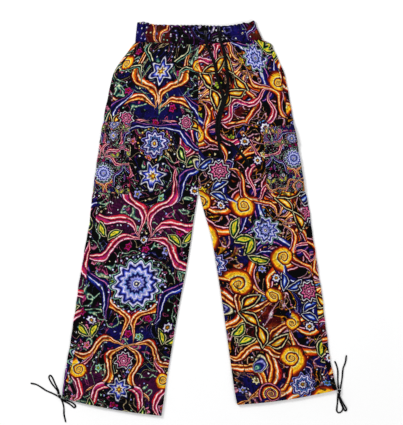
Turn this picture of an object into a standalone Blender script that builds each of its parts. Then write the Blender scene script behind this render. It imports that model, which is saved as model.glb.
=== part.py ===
"""Wide-leg drawstring trousers with cargo pockets, laid flat with the front up.

Frame: X points to the wearer's left, Y to the waist, Z up from the floor.  The origin
is on the floor, under the middle of the trousers' own box (cords left out).
Sizes and tables are in millimetres; MM turns them into metres as a mesh is made.

A leg is a flattened tube.  Its table gives, for each height on the side fold, the
side and inner edges, the air between front and back, how far the side seam lies in
from the fold, and how far the section bows towards the hem.
"""

from math import asin, cos, pi, radians, sin

import bmesh
import bpy
import numpy as np

MM = 0.001

# ---------------------------------------------------------------- driving sizes
CLOTH = 1.2                 # wall of a cloth panel
BAND = 3.2                  # waistband: two layers of cloth and the elastic
SEAM_GAP = 0.3              # left between pieces that meet at a seam
LAYER = CLOTH + 0.4         # from the middle of one layer to the next one lying on it
CENTRE_X = -2.6             # centre-front and centre-back seam
WAIST_Y = 449.5             # lower edge of the waistband at the centre seam
BAND_AIR = 1.0              # between the band's front and back
RUFFLES = 20                # pleats that the elastic draws across the front
RUFFLE_HEIGHT = 1.3
HEM_TURN = 22.0             # hem allowance, turned up inside as the cord's casing
RAMP = 15.0                 # stretch over which cloth comes down beside a pocket
CROTCH_BLEND = 24.0         # height over which the folded inner edge opens into the crotch
SEAM_SLOPE = radians(40)    # tilt of a panel's rim at the inseam

SECTION_COLUMNS = ("side_y", "side_x", "inner_x", "inner_y", "air", "strip", "bow")
RIGHT_SECTIONS = (
    (459, -167.0, -2.6, 449.5, 3.4, 6, 0),
    (457.5, -167.2, -2.6, 448.0, 3.4, 6, 0),
    (446, -177.5, -2.6, 437.0, 2.8, 8, 0),
    (430, -188.5, -2.6, 421.5, 2.4, 8, 0),
    (404, -209.0, -2.6, 396.0, 1.8, 9, 0),
    (380, -222.0, -2.6, 371.0, 1.6, 10, 0),
    (334, -235.0, -2.6, 322.0, 1.4, 11, 0),
    (271, -248.0, -2.6, 255.0, 1.4, 12, 0),
    (209, -259.0, -2.6, 190.0, 1.4, 12, 0),
    (146, -267.0, -2.6, 124.0, 1.4, 12, 0),
    (96, -275.0, -2.6, 71.0, 1.4, 12, 0),
    (42, -281.0, -12.0, 16.0, 1.4, 13, 0),
    (-18, -288.0, -20.5, -45.0, 1.4, 14, 1),
    (-103, -303.0, -34.0, -131.0, 1.4, 14, 2),
    (-197, -318.0, -53.0, -227.0, 1.4, 14, 3),
    (-291, -331.5, -69.0, -322.0, 1.4, 14, 4),
    (-384, -347.0, -85.0, -418.0, 1.8, 12, 5),
    (-436, -355.5, -93.5, -479.0, 4.2, 9, 6),
    (-465, -358.0, -98.5, -511.4, 4.4, 8, 6),
)
LEFT_SECTIONS = (
    (464, 163.5, -2.6, 449.5, 3.4, 6, 0),
    (462.5, 163.7, -2.6, 448.0, 3.4, 6, 0),
    (456, 182.0, -2.6, 441.0, 2.8, 8, 0),
    (440, 191.5, -2.6, 427.0, 2.4, 8, 0),
    (411, 206.0, -2.6, 401.0, 2.0, 9, 0),
    (380, 220.0, -2.6, 371.0, 1.6, 10, 0),
    (334, 229.5, -2.6, 322.0, 1.4, 11, 0),
    (271, 242.0, -2.6, 255.0, 1.4, 12, 0),
    (209, 253.5, -2.6, 190.0, 1.4, 12, 0),
    (146, 264.0, -2.6, 124.0, 1.4, 12, 0),
    (92, 272.0, -2.6, 71.0, 1.4, 12, 0),
    (42, 282.5, 11.0, 19.0, 1.4, 13, 0),
    (-14, 290.5, 28.0, -39.0, 1.4, 14, 1),
    (-103, 304.0, 44.0, -126.0, 1.4, 14, 2),
    (-197, 318.5, 59.0, -221.0, 1.4, 14, 3),
    (-290, 330.0, 72.0, -313.0, 1.4, 14, 4),
    (-366, 340.5, 83.5, -396.0, 1.8, 12, 5),
    (-416, 350.5, 91.5, -452.0, 4.2, 9, 6),
    (-444, 358.0, 97.5, -483.2, 4.4, 8, 6),
)
CROTCH_ROW = 10              # row of both tables where the inseam starts

# Gathers fall from the waistband along the leg: place across the front from the
# centre seam (0) to the side seam (1), length, height and half width (as part of that).
GATHER_COLUMNS = ("across", "length", "height", "half")
RIGHT_GATHERS = ((0.1, 118, 1.9, 0.055), (0.3, 146, 2.6, 0.062), (0.5, 104, 1.7, 0.055),
                 (0.7, 138, 2.4, 0.060), (0.9, 92, 1.6, 0.050))
LEFT_GATHERS = ((0.1, 108, 1.8, 0.055), (0.3, 128, 2.2, 0.060), (0.5, 142, 2.5, 0.060),
                (0.7, 98, 1.7, 0.055), (0.9, 126, 2.1, 0.050))

FLAT_EDGE = 0.06            # part of the front's width over which its relief fades

# Soft creases, each a ridge from one point to another that fades at both ends.
CREASE_COLUMNS = ("start_x", "start_y", "end_x", "end_y", "height", "half")
RIGHT_CREASES = (
    (-14, 92, -104, 168, 1.9, 13),        # drawn from the crotch to the hip
    (-12, 62, -138, 52, 1.6, 13),
    (-52, -22, -212, -76, 1.7, 15),       # across the knee
    (-176, 40, -212, -300, 2.0, 17),      # long fall down the leg
    (-118, -236, -132, -416, 1.8, 14),
    (-262, -212, -300, -404, 1.6, 14),
)
LEFT_CREASES = (
    (10, 90, 92, 160, 1.8, 13),
    (16, 50, 132, 34, 1.6, 13),
    (60, -84, 226, -36, 1.7, 15),
    (168, 26, 206, -286, 2.0, 17),
    (112, -262, 134, -404, 1.7, 14),
    (262, -180, 294, -372, 1.6, 14),
)

# Cargo pockets, folded round the side: heights on the side fold, and reach from the fold
# over the front at top and bottom.
POCKET_BACK = 95.0          # the pocket's reach on the back
POCKET_EDGE = 4.0           # the back stays lifted this far beside the pocket
BACK_RAMP = 40.0            # then it comes down to the floor over this stretch
MOUTH_DEPTH = 26.0          # the pocket's mouth lies this far under the flap's top
POCKET_ROW = 146.0          # height of the row of points halfway down both pockets
FLAP_MARGIN = 2.0           # the flap is this much wider than its pocket
RIGHT_POCKET = {"flap_top": 252, "flap_bottom": 196, "bottom": 70,
                "reach_top": 66, "reach_bottom": 92}
LEFT_POCKET = {"flap_top": 242, "flap_bottom": 196, "bottom": 72,
               "reach_top": 76, "reach_bottom": 98}



def named(columns, rows):
    """Each row of a table as a dictionary of its columns."""
    return [dict(zip(columns, row)) for row in rows]


LEGS = {
    "right": {"sign": -1, "sections": named(SECTION_COLUMNS, RIGHT_SECTIONS),
              "gathers": named(GATHER_COLUMNS, RIGHT_GATHERS),
              "creases": named(CREASE_COLUMNS, RIGHT_CREASES), "pocket": RIGHT_POCKET},
    "left": {"sign": 1, "sections": named(SECTION_COLUMNS, LEFT_SECTIONS),
             "gathers": named(GATHER_COLUMNS, LEFT_GATHERS),
             "creases": named(CREASE_COLUMNS, LEFT_CREASES), "pocket": LEFT_POCKET},
}

# Waistband: top edge (x, y), and the ends' x at parts of its height from the lower edge.
BAND_TOP = ((-162, 508), (-142, 509), (-122, 504), (-84, 502), (-57, 501), (-2.6, 501.5),
            (39, 499.5), (90, 502), (106, 505), (117, 508.5), (126, 506), (135, 511.5),
            (143, 513))
END_COLUMNS = ("height", "right", "left")
BAND_ENDS = ((0.0, -167.0, 163.5), (0.33, -165.5, 156.5), (0.67, -163.8, 148.2),
             (1.0, -162.0, 143.0))

# ---------------------------------------------------------------- cords
TAPE = {"width": 8.0, "thick": 1.6}          # drawstring: flat woven tape
TIE = {"width": 4.0, "thick": 1.2}           # ankle tie: narrow flat tape
DRAWSTRING_1 = (
    (15.6, 478), (19.5, 448), (28, 429), (37.5, 406), (45.5, 370), (55.5, 336),
    (61.5, 313), (55.5, 288), (47.5, 263), (44, 235), (48.5, 213), (63.5, 202),
    (81.5, 194), (98, 179), (114, 160.5), (126, 142.5), (131.5, 130.5))
DRAWSTRING_2 = (
    (49.5, 490), (54.5, 461), (63.5, 432), (70, 396), (73, 367), (73, 336),
    (69, 310), (60, 284), (53.5, 258), (50.5, 230), (50, 203), (52.5, 180), (61, 159))
TAPE_STEP = 9.0             # between the points of a drawstring
TIE_STEP = 4.0              # between the points of an ankle tie
TAPE_CLEAR = 0.5            # between a drawstring and the cloth it lies on
CROSSING_Y = (200, 330)     # the second strand lies on the first between these heights
CROSSING_RAMP = 26.0        # and climbs and comes down over this stretch
CROSSING_CLEAR = 0.6

# Each tie's route in x, y and z; the ends at a knot stop just clear of it.  A tape's
# middle is at 0.8 on the floor and at 2.6 where it lies over another.
KNOTS = {"right": (-363.6, -462.8), "left": (363.4, -449.0)}
KNOT_SIZE = (5.2, 5.0, 2.9)
KNOT_Z = 3.2
TIE_ROUTES = {
    "ankle_tail_right_1": (
        (-369.3, -461.2, 2.4), (-373, -459.4, 1.6), (-378, -457.1, 0.8), (-385, -453.8, 0.8),
        (-392.2, -450.8, 0.8), (-399.4, -447.3, 0.8), (-406.6, -442.6, 0.8),
        (-412.4, -438.8, 0.8), (-418.6, -435, 0.8), (-425.4, -431.6, 0.8),
        (-432.6, -430, 0.8), (-439, -428.8, 0.8)),
    "ankle_tail_right_2": (
        (-360.6, -468, 1.0), (-358, -473, 0.8), (-354.9, -482, 0.8), (-352.7, -493, 0.8),
        (-352.4, -504, 0.8), (-351.8, -512, 0.8), (-349.8, -521, 0.8), (-347.8, -530, 0.8)),
    "ankle_loop_right_1": (
        (-365.2, -457, 1.0), (-366, -452, 0.8), (-367.2, -447.4, 0.8), (-370.2, -440.4, 0.8),
        (-375.8, -428.9, 0.8), (-379, -421.6, 0.8), (-383.2, -413, 0.8), (-387.4, -408.4, 0.8),
        (-391, -410.6, 0.8), (-391, -415.4, 0.8), (-388, -422, 0.8), (-384.2, -428.9, 0.8),
        (-379.4, -435.4, 0.9), (-374.6, -440.8, 2.2), (-370, -446.4, 2.4), (-367.6, -452, 2.5),
        (-366.8, -457.2, 3.2)),
    "ankle_loop_right_2": (
        (-359.8, -468.4, 4.0), (-353.2, -471.4, 3.5), (-344.6, -473.2, 1.8), (-338, -476, 0.8),
        (-330.8, -479.4, 0.8), (-325, -483.8, 0.8), (-322, -488.8, 0.8), (-325, -492.2, 0.8),
        (-331.8, -487.4, 0.8), (-339.4, -481.6, 0.8), (-346.8, -477.6, 1.0),
        (-352.6, -474.8, 2.1), (-358.6, -470.8, 2.4)),
    "ankle_tail_left_1": (
        (361, -443.4, 2.2), (360.4, -436, 1.4), (360, -427, 0.8), (359.6, -416, 0.8),
        (359.6, -404, 0.8), (359, -393, 0.8), (356, -382, 0.8), (351.6, -371.5, 0.8)),
    "ankle_tail_left_2": (
        (365.8, -443.4, 3.4), (367.4, -435, 1.8), (369.4, -425, 0.8), (371, -412, 0.8),
        (372, -400, 0.8), (374, -388.5, 0.8), (378.6, -377, 0.8), (382, -356, 0.8)),
    "ankle_loop_left_1": (
        (360.4, -454.2, 1.0), (359.6, -462, 0.8), (359, -472, 0.8), (358.2, -483, 0.8),
        (357, -493, 0.8), (357, -501, 0.8), (360.8, -505.4, 0.8), (366.6, -504.2, 0.8),
        (371.2, -499.4, 0.8), (372.6, -493.4, 0.8), (370, -486, 0.8), (366.6, -478, 0.8),
        (364.4, -469.5, 0.8), (364, -462, 0.8), (364.8, -454.8, 1.0)),
    "ankle_loop_left_2": (
        (362.6, -454.4, 4.6), (363.2, -461, 3.8), (366.8, -469, 3.8), (370.8, -476.4, 3.8),
        (375, -483.6, 3.8), (378.8, -489.6, 3.2), (381.4, -494.8, 1.5), (381.8, -499.2, 0.8),
        (378.4, -500.6, 0.8), (375.6, -496.4, 2.3), (372.8, -490.6, 2.4), (370.2, -484.6, 2.4),
        (367.2, -478, 2.4), (364.4, -470.6, 2.3), (362.2, -463, 2.3), (362, -456, 2.3)),
}


# ---------------------------------------------------------------- small mathematics
def smooth_curve(knots, values, at):
    """Read a table's column at any place, on a smooth curve through its rows."""
    knots, values = np.asarray(knots, float), np.asarray(values, float)
    slopes = np.gradient(values, knots)
    order = np.argsort(knots)
    knots, values, slopes = knots[order], values[order], slopes[order]
    at = min(max(at, knots[0]), knots[-1])
    i = min(max(int(np.searchsorted(knots, at)) - 1, 0), len(knots) - 2)
    span = knots[i + 1] - knots[i]
    t = (at - knots[i]) / span
    return ((1 + 2 * t) * (1 - t) ** 2 * values[i] + t * (1 - t) ** 2 * span * slopes[i]
            + t * t * (3 - 2 * t) * values[i + 1] + t * t * (t - 1) * span * slopes[i + 1])


def rise(low, high, x):
    """0 up to low, 1 from high, and a straight ramp between."""
    return min(max((x - low) / (high - low), 0.0), 1.0)


# ---------------------------------------------------------------- the leg's form
def leg_section(leg, y):
    """Everything about a leg's flattened section at height y of its side fold."""
    rows = leg["sections"]
    heights = [row["side_y"] for row in rows]
    beyond = y - max(min(y, heights[0]), heights[-1])        # the hem's turning
    read = {name: smooth_curve(heights, [row[name] for row in rows], y)
            for name in SECTION_COLUMNS}
    if y >= heights[CROTCH_ROW]:
        read["inner_x"] = CENTRE_X
    else:
        inseam = [row["inner_x"] for row in rows[CROTCH_ROW:]]
        read["inner_x"] = smooth_curve(heights[CROTCH_ROW:], inseam, y)
    inner = np.array((read["inner_x"], read["inner_y"]))
    side = np.array((read["side_x"], max(min(y, heights[0]), heights[-1])))
    width = float(np.linalg.norm(side - inner))
    across = (side - inner) / width
    down = np.array((across[1], -across[0])) * leg["sign"]
    inner = inner - down * beyond
    pocket, flap = pocket_layers(leg, y)
    radius = (CLOTH + read["air"]) / 2
    fold = width - radius - CLOTH / 2 - LAYER * (pocket + flap)
    return {"inner": inner, "across": across, "down": down, "width": width,
            "radius": radius, "air": read["air"], "bow": read["bow"],
            "inseam": radius + CLOTH / 2 + SEAM_GAP / 2, "fold": fold,
            "seam": fold - read["strip"], "layers": pocket + flap, "y": y,
            "closed": 1 - rise(heights[CROTCH_ROW], heights[CROTCH_ROW] + CROTCH_BLEND, y)}


def pocket_layers(leg, y):
    """How much of the pocket and of its flap lies on the leg at height y."""
    pocket = leg["pocket"]
    above = rise(pocket["flap_top"], pocket["flap_top"] + RAMP, y)
    return (rise(pocket["bottom"] - RAMP, pocket["bottom"], y) - above,
            rise(pocket["flap_bottom"] - RAMP, pocket["flap_bottom"], y) - above)


def floor_lift(section, w):
    """How high the leg's back is held off the floor by the pocket under it."""
    reach = section["fold"] - w - POCKET_BACK - POCKET_EDGE
    return LAYER * section["layers"] * (1 - rise(0, BACK_RAMP, reach))


def plan_point(section, w):
    """Place in plan at distance w from the inner edge."""
    t = min(max(w / section["width"], 0.0), 1.0)
    return (section["inner"] + section["across"] * w
            + section["down"] * section["bow"] * 4 * t * (1 - t))


def relief(leg, section, w):
    """Height of the gathers and creases on the front panel, which fade at its seams."""
    start, end = section["inseam"], section["seam"]
    across = (w - start) / (end - start)
    if not 0 < across < 1:
        return 0.0
    top = leg["sections"][0]["side_y"]
    height = 0.0
    for gather in leg["gathers"]:
        fade = 1 - rise(0, gather["length"], top - section["y"])
        off = (across - gather["across"]) / gather["half"]
        height += gather["height"] * fade * np.exp(-off ** 2)
    here = plan_point(section, w)
    for crease in leg["creases"]:
        start = np.array((crease["start_x"], crease["start_y"]), float)
        run = np.array((crease["end_x"], crease["end_y"]), float) - start
        part = float(np.dot(here - start, run) / np.dot(run, run))
        if 0 < part < 1:
            off = np.linalg.norm(here - start - part * run) / crease["half"]
            height += crease["height"] * sin(pi * part) * np.exp(-off ** 2)
    edge = min(1.0, across / FLAT_EDGE, (1 - across) / FLAT_EDGE)
    return height * edge


def leg_point(leg, section, place, lift=0.0):
    """A point of the leg's middle surface, moved out by lift.

    place is ("front", w), ("back", w), ("side", angle) round the side fold from -90
    at the back to 90 at the front, or ("inseam", (side, part)) round the inner fold,
    from the seam's edge (part 0) to the flat (part 1) of the front (1) or back (-1).
    """
    kind, value = place
    if kind in ("front", "back"):
        x, y = plan_point(section, value)
        z = CLOTH / 2 + floor_lift(section, value)
        if kind == "front":
            z += 2 * section["radius"] + relief(leg, section, value) + lift
        else:
            z -= lift
        return np.array((x, y, z))
    radius = section["radius"]
    if kind == "side":
        angle = radians(value)
        w = section["fold"] + (radius + lift) * cos(angle)
        x, y = plan_point(section, w)
        z = CLOTH / 2 + LAYER * section["layers"] + radius + (radius + lift) * sin(angle)
        return np.array((x, y, z))
    side, part = value
    end = asin((SEAM_GAP / 2 + CLOTH / 2 * sin(SEAM_SLOPE)) / (radius + lift))
    angle = end + (pi / 2 - end) * part
    folded_w = section["inseam"] - (radius + lift) * cos(angle)
    open_w = SEAM_GAP / 2 + (section["inseam"] - SEAM_GAP / 2) * part
    closed = section["closed"]
    clear = CLOTH * closed * (1 - closed) * (1 - part)
    x, y = plan_point(section, closed * folded_w + (1 - closed) * open_w + clear)
    bend = closed * sin(angle) + 1 - closed
    z = CLOTH / 2 + floor_lift(section, 0) + radius + side * (radius + lift) * bend
    return np.array((x, y, z))


INSEAM_PARTS = (0, 0.5, 1)
SIDE_ANGLES = (-90, -45, 0, 45, 90)
FRONT_CELLS = 10
BACK_CELLS = 4
FOLD_COLUMN = 40.0          # the back's last column, this far from the side fold


def front_places(section):
    """Columns of the front panel, from the inner edge to the side seam."""
    places = [("inseam", (1, part)) for part in INSEAM_PARTS]
    start, end = section["inseam"], section["seam"] - SEAM_GAP
    places += [("front", start + (end - start) * k / FRONT_CELLS)
               for k in range(1, FRONT_CELLS + 1)]
    return places


def back_places(section):
    """Columns of the back panel: inner edge, floor, side fold, side seam."""
    places = [("inseam", (-1, part)) for part in INSEAM_PARTS]
    lifted = section["fold"] - POCKET_BACK - POCKET_EDGE
    start, end = section["inseam"], lifted - BACK_RAMP
    places += [("back", start + (end - start) * k / BACK_CELLS)
               for k in range(1, BACK_CELLS + 1)]
    places += [("back", lifted), ("back", section["fold"] - FOLD_COLUMN)]
    places += [("side", angle) for angle in SIDE_ANGLES]
    places += [("front", section["seam"])]
    return places


def panel_heights(leg):
    """Heights of a panel's rows on the side fold, from waistband to hem."""
    pocket = leg["pocket"]
    heights = [row["side_y"] for row in leg["sections"]]
    waist, neck, crotch, casing, hem = (heights[k] for k in (0, 1, CROTCH_ROW, -2, -1))
    above = pocket["flap_top"] + RAMP
    upper = neck + (above - neck) * np.linspace(0, 1, 9) ** 1.2
    lower = np.linspace(pocket["bottom"] - RAMP, casing, 9)[1:]
    return ([waist] + [float(y) for y in upper]
            + [pocket["flap_top"], pocket["flap_top"] - MOUTH_DEPTH, pocket["flap_bottom"],
               pocket["flap_bottom"] - RAMP, POCKET_ROW, crotch + CROTCH_BLEND, crotch,
               pocket["bottom"], pocket["bottom"] - RAMP]
            + [float(y) for y in lower] + [hem])


def panel_grid(leg, places_of):
    """Points of a leg panel, with its hem turned up inside."""
    grid = []
    for y in panel_heights(leg):
        section = leg_section(leg, y)
        grid.append([leg_point(leg, section, place) for place in places_of(section)])
    hem = leg["sections"][-1]["side_y"]
    turn = LAYER / 2
    turns = [(-turn * sin(a), -turn * (1 - cos(a))) for a in (pi / 3, 2 * pi / 3, pi)]
    for past, lift in turns + [(HEM_TURN, -LAYER)]:
        section = leg_section(leg, hem + past)
        grid.append([leg_point(leg, section, place, lift) for place in places_of(section)])
    return np.array(grid)


def pocket_grid(leg, heights, extra, lift):
    """Points of a pocket piece folded round the side, moved out from the leg's own."""
    pocket = leg["pocket"]
    grid = []
    for y in heights:
        section = leg_section(leg, y)
        down = (pocket["flap_top"] - y) / (pocket["flap_top"] - pocket["bottom"])
        reach = pocket["reach_top"] * (1 - down) + pocket["reach_bottom"] * down + extra
        fold = section["fold"]
        places = [("front", fold - reach * part) for part in (1, 0.6, 0.2)]
        places += [("side", angle) for angle in reversed(SIDE_ANGLES)]
        places += [("back", fold - (POCKET_BACK + extra) * part) for part in (0.4, 1)]
        grid.append([leg_point(leg, section, place, lift) for place in places])
    return np.array(grid)


# ---------------------------------------------------------------- the waistband's form
def waist_seam_y(x):
    """The seam between the waistband and the legs."""
    side = LEGS["left" if x > CENTRE_X else "right"]["sections"][0]
    return WAIST_Y + (side["side_y"] - WAIST_Y) * (x - CENTRE_X) / (side["side_x"] - CENTRE_X)


def band_front(height):
    """Where the band's flat front starts and ends, at a part (0 to 1) of its height."""
    ends = named(END_COLUMNS, BAND_ENDS)
    edge = (BAND + BAND_AIR) / 2 + BAND / 2
    right, left = (float(np.interp(height, [end["height"] for end in ends],
                                   [end[side] for end in ends])) for side in ("right", "left"))
    return right + edge, left - edge


def band_top(x):
    return smooth_curve([point[0] for point in BAND_TOP], [point[1] for point in BAND_TOP], x)


def band_ruffle(part):
    """Height of the gathered front at a part (0 to 1) of its width."""
    uneven = 0.78 + 0.22 * sin(9.2 * part + 1.0)
    return RUFFLE_HEIGHT * uneven * (0.5 - 0.5 * cos(2 * pi * RUFFLES * part))


def band_point(height, place):
    """A point of the waistband's middle surface; height runs 0 to 1 up the band."""
    kind, value = place
    start, end = band_front(height)
    radius = (BAND + BAND_AIR) / 2
    z = BAND / 2
    if kind == "end":
        side, angle = value
        x = (end if side > 0 else start) + side * radius * cos(angle)
        z += radius + radius * sin(angle)
    else:
        x = start + (end - start) * value
        z += (2 * radius + band_ruffle(value)) if kind == "front" else 0
    low = waist_seam_y(x) + SEAM_GAP
    return np.array((x, low + (band_top(x) - low) * height, z))


BAND_BACK_CELLS = 12


def band_grid():
    """Rows round the waist: back, left end, gathered front, right end."""
    grid = []
    steps = 2 * RUFFLES
    for end in named(END_COLUMNS, BAND_ENDS):
        places = [("back", k / BAND_BACK_CELLS) for k in range(BAND_BACK_CELLS + 1)]
        places += [("end", (1, radians(a))) for a in (-45, 0, 45)]
        places += [("front", 1 - k / steps) for k in range(steps + 1)]
        places += [("end", (-1, radians(a))) for a in (45, 0, -45)]
        grid.append([band_point(end["height"], place) for place in places])
    return np.array(grid)


# ---------------------------------------------------------------- what lies on top
HALVINGS = 30               # steps that find the row of the leg under a place


def front_top(x, y):
    """Height of the outer side of the front at a place in plan."""
    seam = waist_seam_y(x)
    if y > seam:
        start, end = band_front((y - seam) / (band_top(x) - seam))
        return BAND + BAND_AIR + BAND + band_ruffle((x - start) / (end - start))
    leg = LEGS["left" if x > CENTRE_X else "right"]
    high, low = leg["sections"][0]["side_y"], leg["sections"][-1]["side_y"]
    for _ in range(HALVINGS):
        middle = (high + low) / 2
        section = leg_section(leg, middle)
        w = float(np.dot(np.array((x, y)) - section["inner"], section["across"]))
        if y > plan_point(section, w)[1]:
            low = middle
        else:
            high = middle
    return leg_point(leg, section, ("front", max(w, section["inseam"])))[2] + CLOTH / 2


def even_route(route, step):
    """Points a step apart on a smooth curve through the route's points."""
    route = np.asarray(route, float)
    run = np.concatenate(([0], np.cumsum(np.linalg.norm(np.diff(route, axis=0), axis=1))))
    count = max(int(round(run[-1] / step)), 4)
    return np.array([[smooth_curve(run, route[:, k], s) for k in range(route.shape[1])]
                     for s in np.linspace(0, run[-1], count + 1)])


def tape_grid(points, width):
    """Both edges of a flat tape along a route."""
    along = np.gradient(points[:, :2], axis=0)
    along /= np.linalg.norm(along, axis=1)[:, None]
    side = np.column_stack((-along[:, 1], along[:, 0], np.zeros(len(points))))
    return np.stack((points - side * width / 2, points + side * width / 2), axis=1)


def drawstring_points(route, over_first):
    """The route laid on the front: it bridges the gathers, as a tape does."""
    flat = even_route(route, TAPE_STEP)
    half, ahead = TAPE["width"] / 2, TAPE_STEP * 2 / 3
    under = []
    for x, y in flat:
        under.append(max(front_top(x + dx, y + dy) for dx in (-half, 0, half)
                         for dy in (-ahead, 0, ahead)))
    under = np.array(under)
    reach = [max(under[max(i - 2, 0):i + 3]) for i in range(len(under))]
    padded = np.pad(reach, 2, mode="edge")
    z = np.convolve(padded, np.ones(5) / 5, mode="valid")
    z = np.maximum(z, under) + TAPE["thick"] / 2 + TAPE_CLEAR
    if over_first:
        low, high = CROSSING_Y
        hump = [rise(low - CROSSING_RAMP, low, y) - rise(high, high + CROSSING_RAMP, y)
                for y in flat[:, 1]]
        z = z + np.array(hump) * (TAPE["thick"] + CROSSING_CLEAR)
    return np.column_stack((flat, z))


# ---------------------------------------------------------------- making the objects
def clear_scene():
    for item in list(bpy.data.objects):
        bpy.data.objects.remove(item, do_unlink=True)


def cloth_material(name, colour, roughness):
    material = bpy.data.materials.new(name)
    material.use_nodes = True
    shader = material.node_tree.nodes["Principled BSDF"]
    shader.inputs["Base Color"].default_value = (*colour, 1)
    shader.inputs["Roughness"].default_value = roughness
    shader.inputs["Metallic"].default_value = 0.0
    return material


def add_object(name, mesh, material, collection):
    item = bpy.data.objects.new(name, mesh)
    item.data.materials.append(material)
    collection.objects.link(item)
    return item


def wall_object(name, grid, wall, material, collection, ring=False):
    """A grid moved to its points, with half of the wall's thickness on each side.

    A ring's last column meets its first.
    """
    if ring:
        grid = np.concatenate((grid, grid[:, :1]), axis=1)
    rows, columns = grid.shape[:2]
    mesh = bpy.data.meshes.new(name)
    shape = bmesh.new()
    bmesh.ops.create_grid(shape, x_segments=columns - 1, y_segments=rows - 1, size=1)
    for vert in shape.verts:
        column = round((vert.co.x + 1) / 2 * (columns - 1))
        row = round((vert.co.y + 1) / 2 * (rows - 1))
        vert.co = grid[row, column] * MM
    if ring:
        bmesh.ops.remove_doubles(shape, verts=shape.verts, dist=0.001 * MM)
    shape.to_mesh(mesh)
    shape.free()
    mesh.shade_smooth()
    item = add_object(name, mesh, material, collection)
    solid = item.modifiers.new("wall", "SOLIDIFY")
    solid.thickness = wall * MM
    solid.offset = 0
    solid.use_even_offset = True
    return item


def knot_object(name, centre, material, collection):
    """A tie's knot, pulled tight: a flattened ball."""
    mesh = bpy.data.meshes.new(name)
    shape = bmesh.new()
    bmesh.ops.create_uvsphere(shape, u_segments=12, v_segments=8, radius=1)
    for vert in shape.verts:
        vert.co = [vert.co[k] * KNOT_SIZE[k] * MM for k in range(3)]
    shape.to_mesh(mesh)
    shape.free()
    mesh.shade_smooth()
    item = add_object(name, mesh, material, collection)
    item.location = (centre[0] * MM, centre[1] * MM, KNOT_Z * MM)
    return item


def build():
    clear_scene()
    collection = bpy.data.collections.new("wide_leg_trousers")
    bpy.context.scene.collection.children.link(collection)
    colours = {"front": (0.16, 0.05, 0.08), "back": (0.10, 0.05, 0.12),
               "pocket": (0.30, 0.14, 0.06), "flap": (0.36, 0.18, 0.05),
               "band": (0.03, 0.03, 0.05), "tape": (0.01, 0.01, 0.012)}
    for side, leg in LEGS.items():
        for part, places_of in (("front", front_places), ("back", back_places)):
            name = f"{part}_leg_{side}"
            wall_object(name, panel_grid(leg, places_of), CLOTH,
                        cloth_material(name, colours[part], 0.62), collection)
        pocket = leg["pocket"]
        crotch = leg["sections"][CROTCH_ROW]["side_y"]
        body = (pocket["flap_top"] - MOUTH_DEPTH, pocket["flap_bottom"],
                pocket["flap_bottom"] - RAMP, POCKET_ROW, crotch + CROTCH_BLEND, crotch,
                pocket["bottom"])
        wall_object(f"pocket_{side}", pocket_grid(leg, body, 0, LAYER), CLOTH,
                    cloth_material(f"pocket_{side}", colours["pocket"], 0.62), collection)
        flap = (pocket["flap_top"], pocket["flap_top"] - MOUTH_DEPTH, pocket["flap_bottom"])
        wall_object(f"pocket_flap_{side}", pocket_grid(leg, flap, FLAP_MARGIN, 2 * LAYER), CLOTH,
                    cloth_material(f"pocket_flap_{side}", colours["flap"], 0.62), collection)
    wall_object("waistband", band_grid(), BAND,
                cloth_material("waistband", colours["band"], 0.65), collection, ring=True)
    for name, route, over in (("drawstring_1", DRAWSTRING_1, False),
                              ("drawstring_2", DRAWSTRING_2, True)):
        grid = tape_grid(drawstring_points(route, over), TAPE["width"])
        wall_object(name, grid, TAPE["thick"],
                    cloth_material(name, colours["tape"], 0.7), collection)
    for name, route in TIE_ROUTES.items():
        grid = tape_grid(even_route(route, TIE_STEP), TIE["width"])
        wall_object(name, grid, TIE["thick"],
                    cloth_material(name, colours["tape"], 0.7), collection)
    for side, centre in KNOTS.items():
        knot_object(f"ankle_knot_{side}", centre,
                    cloth_material(f"ankle_knot_{side}", colours["tape"], 0.7), collection)


build()
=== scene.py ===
"""The looks of the wide-leg drawstring trousers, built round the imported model.

Tables and forms are in millimetres, as in the part's source; MM turns them into
metres as a mesh is made.  The print is laid out in metres on the flat cloth.

Frame: X points to the wearer's left, Y to the waist, Z up from the floor.
"""

from math import cos, pi, radians, sin, tau

import bpy
import numpy as np
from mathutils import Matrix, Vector
from mathutils.bvhtree import BVHTree


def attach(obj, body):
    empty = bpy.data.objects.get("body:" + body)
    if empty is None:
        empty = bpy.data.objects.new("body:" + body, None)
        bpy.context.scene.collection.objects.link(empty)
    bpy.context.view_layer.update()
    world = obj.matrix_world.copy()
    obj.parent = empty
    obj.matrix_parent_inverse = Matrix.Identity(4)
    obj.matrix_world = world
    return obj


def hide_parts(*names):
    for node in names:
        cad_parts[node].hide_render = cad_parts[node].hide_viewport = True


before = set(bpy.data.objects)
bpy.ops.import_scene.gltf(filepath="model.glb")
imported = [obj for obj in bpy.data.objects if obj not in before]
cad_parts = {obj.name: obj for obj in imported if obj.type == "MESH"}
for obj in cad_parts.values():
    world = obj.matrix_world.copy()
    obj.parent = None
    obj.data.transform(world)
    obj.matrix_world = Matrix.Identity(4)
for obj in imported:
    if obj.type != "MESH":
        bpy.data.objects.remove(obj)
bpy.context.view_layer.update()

MM = 0.001


def table(text):
    """A table's rows as dictionaries; its first line names the columns."""
    names, *rows = text.strip().splitlines()
    return [dict(zip(names.split(), map(float, row.split()))) for row in rows]


def named(text):
    """Entries between semicolons: a dictionary from each name to the text after its colon."""
    return dict(map(str.strip, entry.split(":")) for entry in text.split(";"))


def routes(text):
    """Cords' points by name; a tie's point without a height lies on the floor."""
    return {name: [tuple(map(float, point.split())) for point in points.split(",")]
            for name, points in named(text).items()}


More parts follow.
